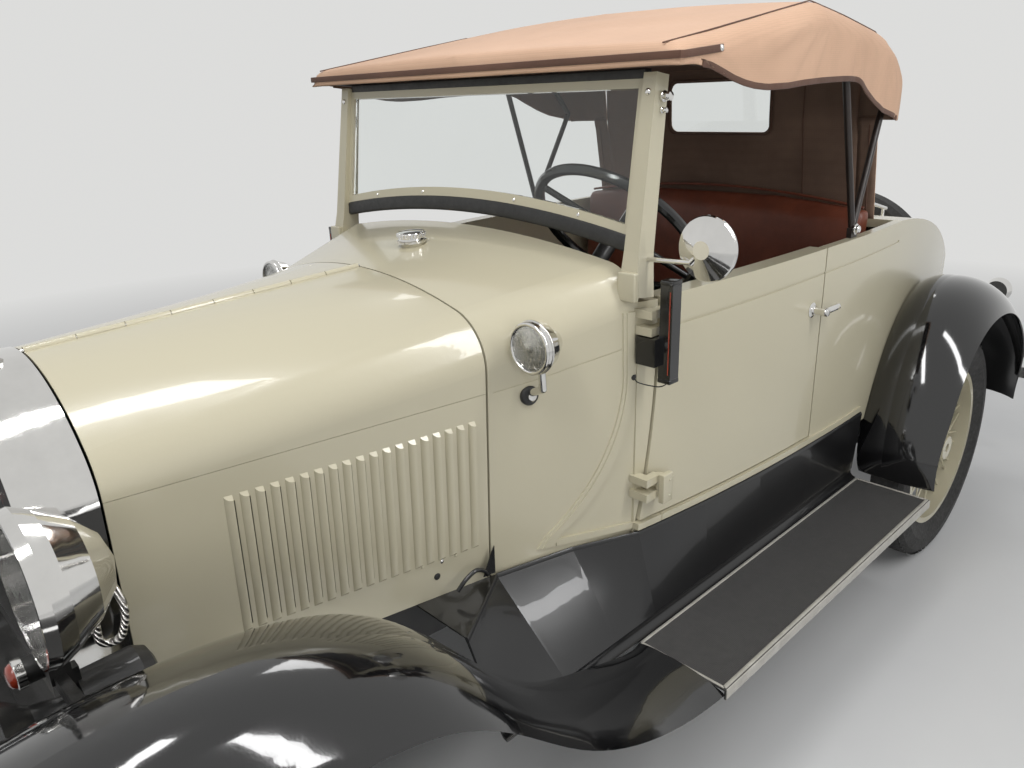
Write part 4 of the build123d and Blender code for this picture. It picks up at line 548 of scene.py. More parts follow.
def canopy_stations():
    """Rows of the left half: the inner place, the outward direction and the hem's distance."""
    stations = []
    # The front face and the corner over it
    for step in range(4):
        stations.append(((TOP_FRONT, 1.5815 + 0.0055 * step), (-1.0, 0.0), TOP_FRONT + 0.004 * step))
    for step in range(1, 8):
        angle = math.radians(90 * step / 7 - 90)
        out = (math.sin(angle), math.cos(angle))
        stations.append(((TOP_FRONT, 1.598), out, TOP_FRONT + 0.016 + 0.004 * step))
    # The roof
    for step in range(1, 51):
        at = TOP_FRONT + (TOP_BACK - TOP_FRONT) * step / 50
        hem = at + 0.044 if at < 1.9 else 1.944 + (at - 1.9) * 0.62
        inner = max(row_value(ROOF_ROWS, at, 2) - 0.092, row_value(HEM_ROWS, hem, 1) + 0.014)
        stations.append(((at, inner), (0.0, 1.0), hem))
    # The rear corner and the face under it
    for step in range(1, 12):
        angle = math.radians(90 * step / 11)
        centre = (TOP_BACK + 0.020 * step / 11, 1.585 - 0.005 * step / 11)
        stations.append((centre, (math.sin(angle), math.cos(angle)), 2.1486 + 0.007 * step))
    for step in range(1, 13):
        centre = (2.250 + 0.022 * step / 12, 1.580 - 0.1385 * step / 12)
        stations.append((centre, (1.0, 0.0), 2.2256 + 0.0040 * step))
    return stations


def fold_height(at, height):
    """How far the cloth's folds stand out at a place on the side, in metres."""
    rise = 0.0
    for start, top, angle, spread, reach, amount in FOLDS:
        away = Vector((at - start, height - top))
        if 0.004 <= away.length <= reach:
            turned = math.degrees(math.atan2(away.y, away.x)) % 360
            apart = abs((turned - angle + 180) % 360 - 180)
            fade = math.sin(math.pi * min(1.0, away.length / reach) ** 0.7)
            rise += amount * fade * math.exp(-((apart / spread) ** 2))
    return rise


def hit(shell, inner, way, missed=0.06, least=0.0):
    """The outer face's place in a direction from an inner place, or a stated reach where there is none."""
    found = shell.ray_cast(inner + way * 0.6, -way, 0.6)[0]
    if found is None or (found - inner).dot(way) < least:
        return inner + way * missed
    return found


def canopy_grid():
    """Rows of places on the left half of the soft top's outer face, each from the middle to the hem."""
    shell = node_tree("canopy")
    left = Vector((1.0, 0.0, 0.0))
    rows = []
    for (at, height), (back, up), hem_at in canopy_stations():
        flat_half = row_value(ROOF_ROWS, at, 1) - TOP_SHELL_INSET
        out = Vector((0.0, back, up))
        row = []
        for step in range(FLAT_COLUMNS):
            x = flat_half * step / (FLAT_COLUMNS - 1)
            row.append(hit(shell, Vector((x, along(at), height)), out))
        for step in range(1, CORNER_COLUMNS + 1):
            turn = math.radians(90 * step / CORNER_COLUMNS)
            way = out * math.cos(turn) + left * math.sin(turn)
            row.append(hit(shell, Vector((flat_half, along(at), height)), way))
        hem_height = row_value(HEM_ROWS, hem_at, 1) + 0.0015
        for step in range(1, SIDE_COLUMNS + 1):
            share = step / SIDE_COLUMNS
            place = Vector((0.3, along(at + (hem_at - at) * share), height + (hem_height - height) * share))
            side_x = row_value(ROOF_ROWS, distance_of(place), 1)
            row.append(hit(shell, place, left, side_x - 0.3, side_x - 0.34))
        rows.append(row)
    return rows


def relaxed(rows):
    """The same rows with each inner place moved half way to the middle of its four neighbours."""
    fresh = [[place.copy() for place in row] for row in rows]
    for r in range(1, len(rows) - 1):
        for c in range(1, len(rows[0]) - 1):
            around = (rows[r - 1][c] + rows[r + 1][c] + rows[r][c - 1] + rows[r][c + 1]) / 4
            fresh[r][c] = rows[r][c] * 0.5 + around * 0.5
    return fresh


def draped(place, column, side):
    """A place of the left half, on one side of the top, with the cloth's folds, sag and unevenness."""
    moved = place.copy()
    at = distance_of(place)
    if column >= FOLDED_COLUMN:
        cloudy = noise.noise(Vector((at * 5 * side, place.z * 7, 2.0 * side))) * 0.0016
        share = min(1.0, (column - FOLDED_COLUMN + 1) / 8)
        moved.x += (fold_height(at, place.z) + cloudy) * share
    elif at < 2.28:
        to_bow = min(abs(at - bow) for bow in BOWS)
        sag = SAG * min(1.0, to_bow / 0.09) if 1.21 < at < 2.2 else 0.0
        edge = min(1.0, (FOLDED_COLUMN - column) / 6)
        cloudy = noise.noise(Vector((moved.x * 4 * side, at * 4, 5.0))) * 0.0012
        moved.z += (cloudy - sag) * edge
    moved.x *= side
    return moved


def line_cloth(piece, thickness):
    """Give a cloth its thickness and its lining, and tell the area of its outer face."""
    piece.data.shade_smooth()
    area = sum(p.area for p in piece.data.polygons)
    piece.data.materials.append(LINING)
    thicken(piece, thickness, 1)
    return area


def make_canopy():
    """The soft top: one stretched cloth over its bows, with folds, and open behind for the curtain."""
    left = canopy_grid()
    for _ in range(3):
        left = relaxed(left)
    points = []
    for row in left:
        points += [draped(place, column, 1) for column, place in enumerate(row)][::-1]
        points += [draped(place, column, -1) for column, place in enumerate(row)][1:]
    faces = []
    for face in grid_faces(len(left), 2 * len(left[0]) - 1):
        middle = sum((points[i] for i in face), Vector()) / 4
        behind = distance_of(middle) > 2.29 and middle.z < CURTAIN_TOP - 0.008
        if not behind or abs(middle.x) >= CURTAIN_HALF - 0.008:
            faces.append(face)
    canopy = make_piece("soft_top", points, faces, CANVAS)
    with edited(canopy) as made:
        loose = [v for v in made.verts if not v.link_faces]
        bmesh.ops.delete(made, geom=loose, context="VERTS")
        bmesh.ops.remove_doubles(made, verts=made.verts, dist=0.0002)
        bmesh.ops.recalc_face_normals(made, faces=made.faces)
        if sum(f.normal.z for f in made.faces) < 0:
            bmesh.ops.reverse_faces(made, faces=made.faces)
    area = line_cloth(canopy, TOP_CLOTH)
    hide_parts("canopy")
    return left


def add_front_band(shell):
    """Bound band across the top's front edge and round its corners, with a snap at each end."""
    front = []
    for step in range(61):
        x = -0.612 + 1.224 * step / 60
        found = shell.ray_cast(Vector((x, along(1.0), BAND_Z)), Vector((0.0, 1.0, 0.0)), 0.6)[0]
        face_y = found.y if found else along(1.19)
        front.append((Vector((x, face_y - 0.0005, BAND_Z)), (0.0, -1.0, 0.0)))
    # Columns: x, distance, the outer face's direction on the left
    corner = [(0.6275, 1.1915, (0.8, -0.6, 0.0)), (0.6300, 1.2000, (1.0, -0.1, 0.0))]
    corner += [(0.6305, 1.200 + 0.0125 * step, (1.0, 0.0, 0.05)) for step in range(1, 11)]
    for _, side in SIDES:
        ends = []
        for x, at, normal in corner:
            height = BAND_Z + max(0.0, at - 1.2) * 0.10
            ends.append((Vector((side * x, along(at), height)), (side * normal[0], normal[1], normal[2])))
        front = front + ends if side > 0 else ends[::-1] + front
    ribbon("top_front_band", [p for p, _ in front], [n for _, n in front], 0.014, 0.0026, BINDING)
    for name, side in SIDES:
        snap = [(0.0062, 0.0), (0.0062, 0.0022), (0.0045, 0.0042), (0.0015, 0.0050)]
        place = (side * 0.6315, along(1.318), 1.6103)
        lathe(f"top_band_snap_{name}", snap, place, (side, 0.0, 0.1), CHROME, steps=20)


def add_hems(left):
    """Binding along the valance's lower edges."""
    hem = [row[-1] for row in left if row[-1].y > along(1.262)]
    for name, side in SIDES:
        places = []
        for place in hem:
            if places and (Vector((side * place.x, place.y, place.z)) - places[-1]).length < 0.006:
                continue
            out = fold_height(distance_of(place), place.z) - 0.0002
            places.append(Vector((side * (place.x + out), place.y, place.z + 0.0035)))
        ribbon(f"top_hem_{name}", places, [(side, 0.0, 0.0)] * len(places), 0.013, 0.0018, BINDING)


def add_top_seams(shell):
    """Seam welts along the shoulders."""
    for name, side in SIDES:
        places = []
        for (at, x), (next_at, next_x) in zip(SHOULDER_SEAM, SHOULDER_SEAM[1:]):
            for share in (step / 6 for step in range(6)):
                here = Vector((x + (next_x - x) * share, along(at + (next_at - at) * share), 2.0))
                found = shell.ray_cast(here, Vector((0.0, 0.0, -1.0)), 1.0)[0]
                if found:
                    places.append(Vector((side * here.x, here.y, found.z + 0.0006)))
        tube(f"top_seam_{name}", places, 0.0017, BINDING, steps=6)


def add_header_lining():
    """Lining that closes the header's under side."""
    front, rear = along(1.200), along(1.262)
    points = [(-0.60, front, 1.5815), (0.60, front, 1.5815), (0.60, rear, 1.5825), (-0.60, rear, 1.5825)]
    piece = make_piece("top_header_lining", points, [(0, 3, 2, 1)], LINING, smooth=False)
    thicken(piece, 0.0015)


# Rear curtain

# Columns: height, distance
CURTAIN_LINE = [(1.1545, 2.3848), (1.4394, 2.336), (1.560, 2.330), (1.582, 2.325), (1.604, 2.315)]
WINDOW_HALF, WINDOW_LOW, WINDOW_HIGH = 0.185, 1.405, 1.562
SKIRT_HALF, SKIRT_TOP = 0.528, 1.450


def curtain_place(x, height, out=0.0):
    """A place on the rear curtain, with its slight waves."""
    at = row_value(CURTAIN_LINE, height, 1)
    wave = 0.0022 * noise.noise(Vector((x * 5.0, height * 4.0, 1.0)))
    pull = 0.0018 * math.sin(x * 34.0) * max(0.0, 1.0 - (height - 1.15) / 0.22)
    return Vector((x, along(at) + wave + pull - 0.0025 + out, height))


def window_outline():
    """Evenly close points round the curtain's window, whose corners are round."""
    corner = 0.024
    x, low, high = WINDOW_HALF - corner, WINDOW_LOW + corner, WINDOW_HIGH - corner
    points = []
    for index, (across, height) in enumerate(((x, high), (-x, high), (-x, low), (x, low))):
        for step in range(9):
            angle = math.radians(90 * index + 90 * step / 8)
            points.append((across + corner * math.cos(angle), height + corner * math.sin(angle)))
    dense = []
    for first, second in zip(points, points[1:] + points[:1]):
        parts = max(1, int(math.dist(first, second) / 0.02))
        for share in (part / parts for part in range(parts)):
            dense.append(tuple(a + (b - a) * share for a, b in zip(first, second)))
    return dense


def curtain_mesh(window, middle):
    """Rings from the window out to the curtain's edges, and a skirt on each side."""
    low, rings = CURTAIN_LINE[0][0], 14
    points = []
    for share in (index / rings for index in range(rings + 1)):
        for x, height in window:
            rise = height - middle
            reach = (CURTAIN_TOP - middle) if rise > 0 else (middle - low)
            grow = min(40.0, CURTAIN_HALF / max(abs(x), 1e-6), reach / max(abs(rise), 1e-6))
            edge_x, edge_z = x * grow, middle + rise * grow
            points.append(curtain_place(x + (edge_x - x) * share, height + (edge_z - height) * share))
    faces = grid_faces(rings + 1, len(window), True)
    rows, columns = 20, 5
    for _, side in SIDES:
        faces += grid_faces(rows, columns, False, len(points))
        for row in range(rows):
            height = low + (SKIRT_TOP - low) * row / (rows - 1)
            tuck = -0.0045 * max(0.0, min(1.0, (height - 1.41) / 0.025))
            for column in range(columns):
                across = CURTAIN_HALF + (SKIRT_HALF - CURTAIN_HALF) * column / (columns - 1)
                points.append(curtain_place(side * across, height, tuck))
    return points, faces


def add_curtain_welts(window, middle):
    """The window's welts and the curtain's seams, on both faces."""
    welts = []
    for name, shift in (("outer", 0.0008), ("inner", -0.0062)):
        places = [curtain_place(x * 1.045, middle + (h - middle) * 1.10, shift) for x, h in window]
        welts.append(tube(f"window_welt_{name}", places, 0.0028, BINDING, steps=6, closed=True))
    low = CURTAIN_LINE[0][0] + 0.002
    # Columns: x, height of the upper end, place in the name
    seams = [(-0.505, 1.438, "edge"), (-0.300, 1.602, "mid"), (0.300, 1.602, "mid"), (0.505, 1.438, "edge")]
    for x, top, where in seams:
        for face, shift in (("outer", 0.0006), ("inner", -0.0052)):
            places = [curtain_place(x, low + (top - low) * step / 24, shift) for step in range(25)]
            name = f"curtain_seam_{'l' if x > 0 else 'r'}_{face}_{where}"
            welts.append(tube(name, places, 0.0016, BINDING, steps=6))
    return welts


def make_curtain():
    """Rear curtain with its window, sewn frame, seams and snaps."""
    window = window_outline()
    middle = (WINDOW_LOW + WINDOW_HIGH) / 2
    points, faces = curtain_mesh(window, middle)
    curtain = make_piece("rear_curtain_cloth", points, faces, CANVAS)
    with edited(curtain) as made:
        bmesh.ops.recalc_face_normals(made, faces=made.faces)
        bmesh.ops.reverse_faces(made, faces=[f for f in made.faces if f.normal.y < 0])
    area = line_cloth(curtain, 0.003)
    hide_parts("rear_curtain")
    frames = add_curtain_welts(window, middle)
    for index in range(9):
        snap = [(0.0065, 0.0), (0.0065, 0.0018), (0.0048, 0.0036), (0.0015, 0.0044)]
        place = curtain_place(-0.50 + 0.125 * index, 1.168, 0.0008)
        lathe(f"curtain_snap_{index}", snap, place, (0.0, 1.0, 0.17), CHROME, steps=16)


# Seats

PAD_VOXEL = 0.011
PAD_PRESSURE = 4.0
PAD_STIFFNESS = 12
# Columns: distance, height
CUSHION_PROFILE = [
    (1.884, 0.730), (1.880, 0.780), (1.884, 0.830), (1.898, 0.862), (1.940, 0.874), (2.020, 0.872),
    (2.120, 0.860), (2.200, 0.850), (2.244, 0.842), (2.254, 0.820), (2.254, 0.730),
]
BACKREST_PROFILE = [
    (2.270, 0.750), (2.270, 0.900), (2.273, 1.000), (2.280, 1.080), (2.292, 1.160), (2.302, 1.196),
    (2.318, 1.222), (2.336, 1.222), (2.352, 1.200), (2.354, 1.100), (2.354, 0.750),
]


def backrest_top(x):
    """Height of the backrest's crown at a place across it."""
    return 1.186 + 0.046 * (1.0 - (x / 0.545) ** 2)


def slab_between(profile, half, top_at=None):
    """A closed shape: a side profile run across the car, pressed down to a top line if there is one."""
    columns = 28
    points = []
    for x in (-half + 2 * half * column / columns for column in range(columns + 1)):
        for at, height in profile:
            limit = top_at(x) if top_at else height
            points.append((x, along(at), height if height <= limit else limit + (height - limit) * 0.1))
    size = len(profile)
    faces = grid_faces(columns + 1, size, True)
    faces.append(tuple(range(size)))
    faces.append(tuple(range(columns * size, (columns + 1) * size))[::-1])
    return points, faces


def swell(piece, cap):
    """Blow a closed piece up by cloth simulation, no place further than a cap."""
    rest = [v.co.copy() for v in piece.data.vertices]
    settings = piece.modifiers.new("cloth", "CLOTH").settings
    settings.quality = 5
    settings.use_pressure = True
    settings.uniform_pressure_force = PAD_PRESSURE
    settings.effector_weights.gravity = 0.0
    settings.tension_stiffness = PAD_STIFFNESS
    settings.compression_stiffness = PAD_STIFFNESS
    scene = bpy.context.scene
    for number in range(1, 13):
        scene.frame_set(number)
    graph = bpy.context.evaluated_depsgraph_get()
    ends = [v.co.copy() for v in piece.evaluated_get(graph).data.vertices]
    piece.modifiers.clear()
    scene.frame_set(1)
    for vert, start, end in zip(piece.data.vertices, rest, ends):
        move = end - start
        vert.co = start + (move.normalized() * cap if move.length > cap else move)


def make_pad(name, node, slab, cap):
    """A stuffed leather piece: a slab remeshed, softened and swollen."""
    piece = make_piece(name, *slab, LEATHER)
    shape = piece.modifiers.new("remesh", "REMESH")
    shape.mode = "VOXEL"
    shape.voxel_size = PAD_VOXEL
    apply_modifiers(piece)
    with edited(piece) as made:
        for _ in range(4):
            bmesh.ops.smooth_vert(
                made, verts=made.verts, factor=0.5, use_axis_x=True, use_axis_y=True, use_axis_z=True,
            )
    swell(piece, cap)
    piece.data.materials.clear()
    piece.data.materials.append(LEATHER)
    piece.data.shade_smooth()
    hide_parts(node)


def pipe_across(name, half, at, height_at):
    """Leather piping across the car."""
    places = [(step / 40 * half, along(at), height_at(step / 40 * half)) for step in range(-40, 41)]
    tube(name, places, 0.0042, LEATHER, steps=8)


def make_seats():
    """Bench cushion and backrest in leather with piping."""
    cushion = slab_between(CUSHION_PROFILE, 0.526)
    make_pad("seat_cushion_leather", "seat_cushion", cushion, 0.010)
    backrest = slab_between(BACKREST_PROFILE, 0.536, backrest_top)
    make_pad("seat_back_leather", "seat_back", backrest, 0.008)
    pipe_across("seat_back_piping", 0.52, 2.3180, lambda x: backrest_top(x) + 0.003)
    pipe_across("seat_cushion_piping", 0.515, 1.8915, lambda x: 0.872)


# Bright trim, rubber and small fittings

# Places as x, distance and height on the left
COWL_LAMP = (0.495, 0.923, 1.082)
LAMP_STEM = (0.440, 0.965, 0.964)
LAMP_RADIUS = 0.0482
HANDLE = (0.6425, 1.850, 0.990)
DASH_FACE = 1.191
TYRE_RADIUS = 0.381
HALF_TRACK = 0.711
WHEELBASE = 2.629


def screen_place(x, rise, out=0.0):
    """A place on the windshield's plane: across, up the glass and out to the front."""
    lean = math.radians(8.1)
    up = Vector((0.0, math.sin(lean), math.cos(lean)))
    front = Vector((0.0, -math.cos(lean), math.sin(lean)))
    return Vector((x, along(1.195), 1.140)) + up * rise + front * out


def rail_arch(x):
    """Rise of the windshield's lower rail at a place across it."""
    return 0.046 * (1 - (x / 0.514) ** 2)


def add_windshield_trim():
    """Rubber under the arched rail, rail screws, post clamps and the posts' feet."""
    front = screen_place(0, 0, 1) - screen_place(0, 0, 0)
    rounded_block("windshield_seal", 0.004, (1.020, 0.024, 0.0205), RUBBER, screen_place(0.0, 0.4345))
    across = [-0.508 + 1.016 * step / 60 for step in range(61)]
    places = [screen_place(x, 0.103 + rail_arch(x), 0.004) for x in across]
    ribbon("windshield_rubber", places, [front] * len(places), 0.036, 0.009, RUBBER)
    for name, side in SIDES:
        for index, x in enumerate((0.17, 0.37)):
            place = screen_place(side * x, 0.130 + rail_arch(x), 0.0095)
            screw = [(0.0042, 0.0), (0.0042, 0.0016), (0.0030, 0.0028), (0.0010, 0.0030)]
            lathe(f"rail_screw_{name}_{index}", screw, place, front, CHROME, steps=14)
        # Columns: height up the post, radius, length
        for index, (rise, radius, reach) in enumerate(((0.392, 0.011, 0.020), (0.366, 0.006, 0.014))):
            knob = [
                (radius, 0.0), (radius, reach * 0.25), (radius * 0.62, reach * 0.35),
                (radius * 0.62, reach * 0.62), (radius * 0.95, reach * 0.72), (radius * 0.8, reach),
                (radius * 0.3, reach * 1.08),
            ]
            place = screen_place(side * 0.5465, rise, -0.004)
            lathe(f"post_knob_{name}_{index}", knob, place, (side, 0.0, 0.0), CHROME, steps=22)
        pin = [(0.0065, 0.0), (0.0065, 0.003), (0.0045, 0.005), (0.0015, 0.0056)]
        lathe(f"post_pin_{name}", pin, screen_place(side * 0.530, 0.398, 0.020), front, CHROME, steps=18)
        place = screen_place(side * 0.538, 0.020, 0.030)
        rounded_block(f"post_foot_{name}", 0.004, (0.044, 0.016, 0.060), CREAM, place)


def add_filler_cap(cowl):
    """Filler cap on the cowl, with grips round it."""
    top = cowl.ray_cast(Vector((0.0, along(1.035), 1.6)), Vector((0.0, 0.0, -1.0)), 0.6)[0]
    cap = [
        (0.0350, -0.001), (0.0350, 0.004), (0.0310, 0.0055), (0.0300, 0.009), (0.0330, 0.0105),
        (0.0330, 0.0205), (0.0315, 0.0225), (0.0180, 0.0245), (0.0060, 0.0250),
    ]
    lathe("filler_cap", cap, top, (0, -0.06, 1), CHROME, steps=48)
    for index, angle in enumerate(circle(24)):
        place = top + Vector((0.0335 * math.cos(angle), 0.0335 * math.sin(angle), 0.0155))
        rounded_block(f"cap_grip_{index}", 0.0008, (0.0030, 0.0030, 0.0095), CHROME, place)


def add_cowl_lamp(name, side, cowl):
    """Glass, bowl, rim and stem fittings of a cowl lamp."""
    x, y, z = side * COWL_LAMP[0], along(COWL_LAMP[1]), COWL_LAMP[2]
    glass = [
        (0.0450, 0.0), (0.0440, 0.0016), (0.0380, 0.0030), (0.0260, 0.0042), (0.0120, 0.0049),
        (0.0020, 0.0050),
    ]
    lathe(f"cowl_lamp_glass_{name}", glass, (x, y - 0.0006, z), (0, -1, 0), LENS, steps=48)
    bowl = [(0.0445, 0.0), (0.0430, 0.0006), (0.0200, 0.0010), (0.0070, 0.0030), (0.0020, 0.0036)]
    lathe(f"cowl_lamp_bowl_{name}", bowl, (x, y - 0.0003, z), (0, -1, 0), REFLECTOR)
    rim = ring((x, y - 0.0012, z), LAMP_RADIUS, 64)
    tube(f"cowl_lamp_rim_{name}", rim, 0.0040, CHROME, steps=12, closed=True)
    bead = ring((x, y + 0.0113, z), LAMP_RADIUS * 1.075, 64)
    tube(f"cowl_lamp_bead_{name}", bead, 0.0022, CHROME, closed=True)
    found = side_face(cowl, side, *LAMP_STEM[1:])
    rubber_ring = [(0.0205, -0.002), (0.0205, 0.0045), (0.0180, 0.0075), (0.0135, 0.0085), (0.0095, 0.0080)]
    lathe(f"lamp_grommet_{name}", rubber_ring, found, (side, -0.25, 0.05), RUBBER, steps=32)
    foot = [(0.0115, 0.0), (0.0115, 0.0115), (0.0095, 0.0135), (0.0080, 0.0140)]
    lathe(f"lamp_ferrule_{name}", foot, found, (side, -0.02, 0.03), CHROME, steps=28)


def add_indicator(name, side, cowl):
    """An indicator arm's lead with its grommet, its amber edge and its end caps."""
    start = side_face(cowl, side, 1.186, 0.966)
    hole = [(0.0070, -0.001), (0.0070, 0.0020), (0.0045, 0.0032), (0.0020, 0.0034)]
    lathe(f"lead_grommet_{name}", hole, start, (side, 0, 0), RUBBER, steps=20)
    lead = [
        start + Vector((side * 0.001, 0, 0)), start + Vector((side * 0.010, 0.006, -0.012)),
        (side * 0.590, along(1.206), 0.950), (side * 0.607, along(1.2105), 0.957),
        (side * 0.611, along(1.2110), 0.9675),
    ]
    tube(f"indicator_lead_{name}", smooth_path(lead, 24), 0.0013, RUBBER, steps=8)
    edge = [(side * 0.6225, along(1.1955), 0.985 + 0.175 * step / 10) for step in range(11)]
    ribbon(f"indicator_edge_{name}", edge, [(0, -1, 0)] * 11, 0.0020, 0.0010, AMBER, "chassis_black")
    for end, height in (("low", 0.9695), ("high", 1.1765)):
        place = (side * 0.613, along(1.211), height)
        rounded_block(f"indicator_cap_{end}_{name}", 0.003, (0.0325, 0.0325, 0.010), GLOSS_BLACK, place)


def add_cowl_trim():
    """Everything small on the cowl: filler cap, lamps' fittings and indicators' fittings."""
    cowl = node_tree("cowl")
    add_filler_cap(cowl)
    for name, side in SIDES:
        add_cowl_lamp(name, side, cowl)
        add_indicator(name, side, cowl)


def add_board_trim():
    """Metal strips round the running boards' mats and along their outer edges."""
    inner, outer, front, rear = 0.6325, 0.8435, 1.1195, 2.2275
    # Columns: strip, its ends as x and distance, width
    runs = [
        ("inner", (inner, front), (inner, rear), 0.007), ("front", (inner, front), (outer, front), 0.006),
        ("rear", (inner, rear), (outer, rear), 0.006), ("outer", (outer, front), (outer, rear), 0.009),
    ]
    for name, side in SIDES:
        for strip, start, end, width in runs:
            places = [(side * x, along(at), 0.3712) for x, at in (start, end)]
            ribbon(f"board_strip_{strip}_{name}", places, [(0, 0, 1)] * 2, width, 0.0022, STRIP)
        places = [(side * 0.8505, along(at), 0.3590) for at in (front - 0.003, rear + 0.003)]
        ribbon(f"board_edge_{name}", places, [(side, 0, 0)] * 2, 0.026, 0.0022, STRIP)


def add_door_handle(name, side, door, skin):
    """Outer handle: plate, shank and a round bar that points to the rear."""
    reach, at, height = HANDLE
    skin_x = abs(side_face(skin, side, at, 1.012).x)
    out = (side, 0, 0)
    plate = [(0.0200, 0.0), (0.0200, 0.0022), (0.0160, 0.0048), (0.0130, 0.0060), (0.0115, 0.0100)]
    place = (side * (skin_x - 0.0004), along(at), height)
    lathe(f"handle_plate_{name}", plate, place, out, CHROME, door, steps=32)
    shank = [
        (0.0102, 0.0), (0.0102, 0.0300), (0.0118, 0.0340), (0.0118, 0.0400), (0.0100, 0.0440),
        (0.0040, 0.0450),
    ]
    lathe(f"handle_shank_{name}", shank, (side * skin_x, along(at), height), out, CHROME, door, steps=28)
    bar = smooth_path([
        (side * reach, along(1.8460), height), (side * (reach + 0.001), along(1.870), height + 0.0005),
        (side * (reach + 0.0015), along(1.900), height + 0.0005), (side * reach, along(1.9270), height),
    ], 10)
    tube(f"handle_bar_{name}", bar, 0.0093, CHROME, door, steps=16)
    end = [(0.0093, 0.0), (0.0085, 0.0035), (0.0055, 0.0065), (0.0015, 0.0075)]
    lathe(f"handle_end_{name}", end, (side * reach, along(1.9265), height), (0, 1, 0), CHROME, door, steps=20)


def add_hinge_cover(name, side, door, skin):
    """Cover of the lower door hinge with two screws, which rides on the door."""
    face_x = side_face(skin, side, 1.245, 0.703).x
    place = (face_x + side * 0.0050, along(1.2410), 0.703)
    rounded_block(f"hinge_cover_{name}", 0.003, (0.015, 0.034, 0.070), CREAM, place, door)
    for index, height in enumerate((0.683, 0.722)):
        screw = [(0.0035, 0.0), (0.0030, 0.0015), (0.0010, 0.0020)]
        place = (face_x + side * 0.0124, along(1.247), height)
        lathe(f"hinge_screw_{name}_{index}", screw, place, (side, 0, 0), CREAM, door, steps=12)


def add_hood_fasteners(name, side):
    """The plug, the button and two screws in the hood side's rear lower corner."""
    hood = f"hood_side_{SIDE_WORDS[name]}"
    panel = node_tree(hood)
    # Columns: distance, height, radius, material
    fasteners = [
        (0.754, 0.606, 0.0075, RUBBER), (0.766, 0.638, 0.0045, CHROME), (0.722, 0.640, 0.0028, CREAM),
        (0.798, 0.640, 0.0028, CREAM),
    ]
    for index, (at, height, radius, look) in enumerate(fasteners):
        head = [(radius, -0.001), (radius, 0.0012), (radius * 0.7, 0.0022), (radius * 0.2, 0.0026)]
        place = side_face(panel, side, at, height)
        lathe(f"hood_fastener_{name}_{index}", head, place, (side, 0, 0), look, hood, "body_cream", 18)


def add_hood_catch(name, side):
    """The catch that holds the hood's side: a curved lever and a plate on the apron."""
    # Columns: x on the left, distance, height
    lever = [
        (0.4195, 0.772, 0.580), (0.4235, 0.792, 0.600), (0.4265, 0.818, 0.611), (0.4235, 0.842, 0.598),
        (0.4195, 0.856, 0.580),
    ]
    route = smooth_path([(side * x, along(at), height) for x, at, height in lever], 8)
    tube(f"hood_catch_{name}", route, 0.0048, GLOSS_BLACK)
    corners = [(0.846, 0.578), (0.8795, 0.574), (0.8795, 0.640), (0.870, 0.626)]
    points = [(side * 0.4185, along(at), height) for at, height in corners]
    wedge = make_piece(f"hood_wedge_{name}", points, [(0, 1, 2, 3)], GLOSS_BLACK, smooth=False)
    thicken(wedge, 0.002)


def add_door_trim():
    """Door handles, hinge covers, the hood sides' fasteners and catches, and the top irons' bolts."""
    bolt = [
        (0.0150, 0.0), (0.0150, 0.0030), (0.0105, 0.0045), (0.0105, 0.0095), (0.0080, 0.0125),
        (0.0020, 0.0130),
    ]
    for name, side in SIDES:
        door = f"door_{SIDE_WORDS[name]}"
        skin = node_tree(door)
        add_door_handle(name, side, door, skin)
        add_hinge_cover(name, side, door, skin)
        add_hood_fasteners(name, side)
        add_hood_catch(name, side)
        lathe(f"iron_bolt_{name}", bolt, (side * 0.6050, along(2.073), 1.170), (side, 0, 0), CHROME, steps=26)


def add_tread(body, centre):
    """Road tread: a row of lugs round the tyre's middle and two on each shoulder."""
    points, faces = [], []

    def add_lug(across, angle, width, length, rise):
        a = len(points)
        # The foot in the tyre, and the outer face, which is smaller where it stands above the tyre
        for lift in (-0.004, rise):
            shrink = 1.0 if lift < 0 else 0.86
            reach = TYRE_RADIUS + lift
            for dx, da in ((-1, -1), (1, -1), (1, 1), (-1, 1)):
                turn = angle + da * length * shrink / 2 / TYRE_RADIUS
                y = centre[1] + reach * math.sin(turn)
                z = centre[2] + reach * math.cos(turn)
                points.append((centre[0] + across + dx * width * shrink / 2, y, z))
        faces.extend([
            (a, a + 1, a + 2, a + 3), (a + 4, a + 5, a + 6, a + 7), (a, a + 1, a + 5, a + 4),
            (a + 1, a + 2, a + 6, a + 5), (a + 2, a + 3, a + 7, a + 6), (a + 3, a, a + 4, a + 7),
        ])

    count = 76
    pitch = math.tau * TYRE_RADIUS / count
    for angle in circle(count):
        add_lug(0.0, angle, 0.012, pitch * 0.82, 0.0005)
        for side in (1, -1):
            add_lug(side * 0.0165, angle + math.pi / count, 0.011, pitch * 0.80, 0.0004)
            add_lug(side * 0.0345, angle, 0.014, pitch * 0.62, -0.0010)
    sharpen(make_piece(f"tread_{body}", points, faces, TYRE, body, smooth=False), 20)


def add_treads():
    """Treads of the four road wheels."""
    for end, distance in (("front", 0.0), ("rear", WHEELBASE)):
        for name, side in SIDES:
            add_tread(f"wheel_{end}_{SIDE_WORDS[name]}", (side * HALF_TRACK, along(distance), TYRE_RADIUS))


def add_bar_lamps():
    """Small amber lamps on the lamp bar."""
    for name, side in SIDES:
        place = (side * 0.330, along(0.0225), 0.770)
        rim = [(0.0205, -0.0100), (0.0232, -0.0090), (0.0232, 0.0030), (0.0205, 0.0042), (0.0190, 0.0030)]
        lathe(f"bar_lamp_rim_{name}", rim, place, (0, -1, 0), CHROME, steps=32)
        glass = [(0.0198, 0.0), (0.0196, 0.0060), (0.0170, 0.0105), (0.0110, 0.0135), (0.0020, 0.0145)]
        lathe(f"bar_lamp_glass_{name}", glass, place, (0, -1, 0), AMBER, steps=32)


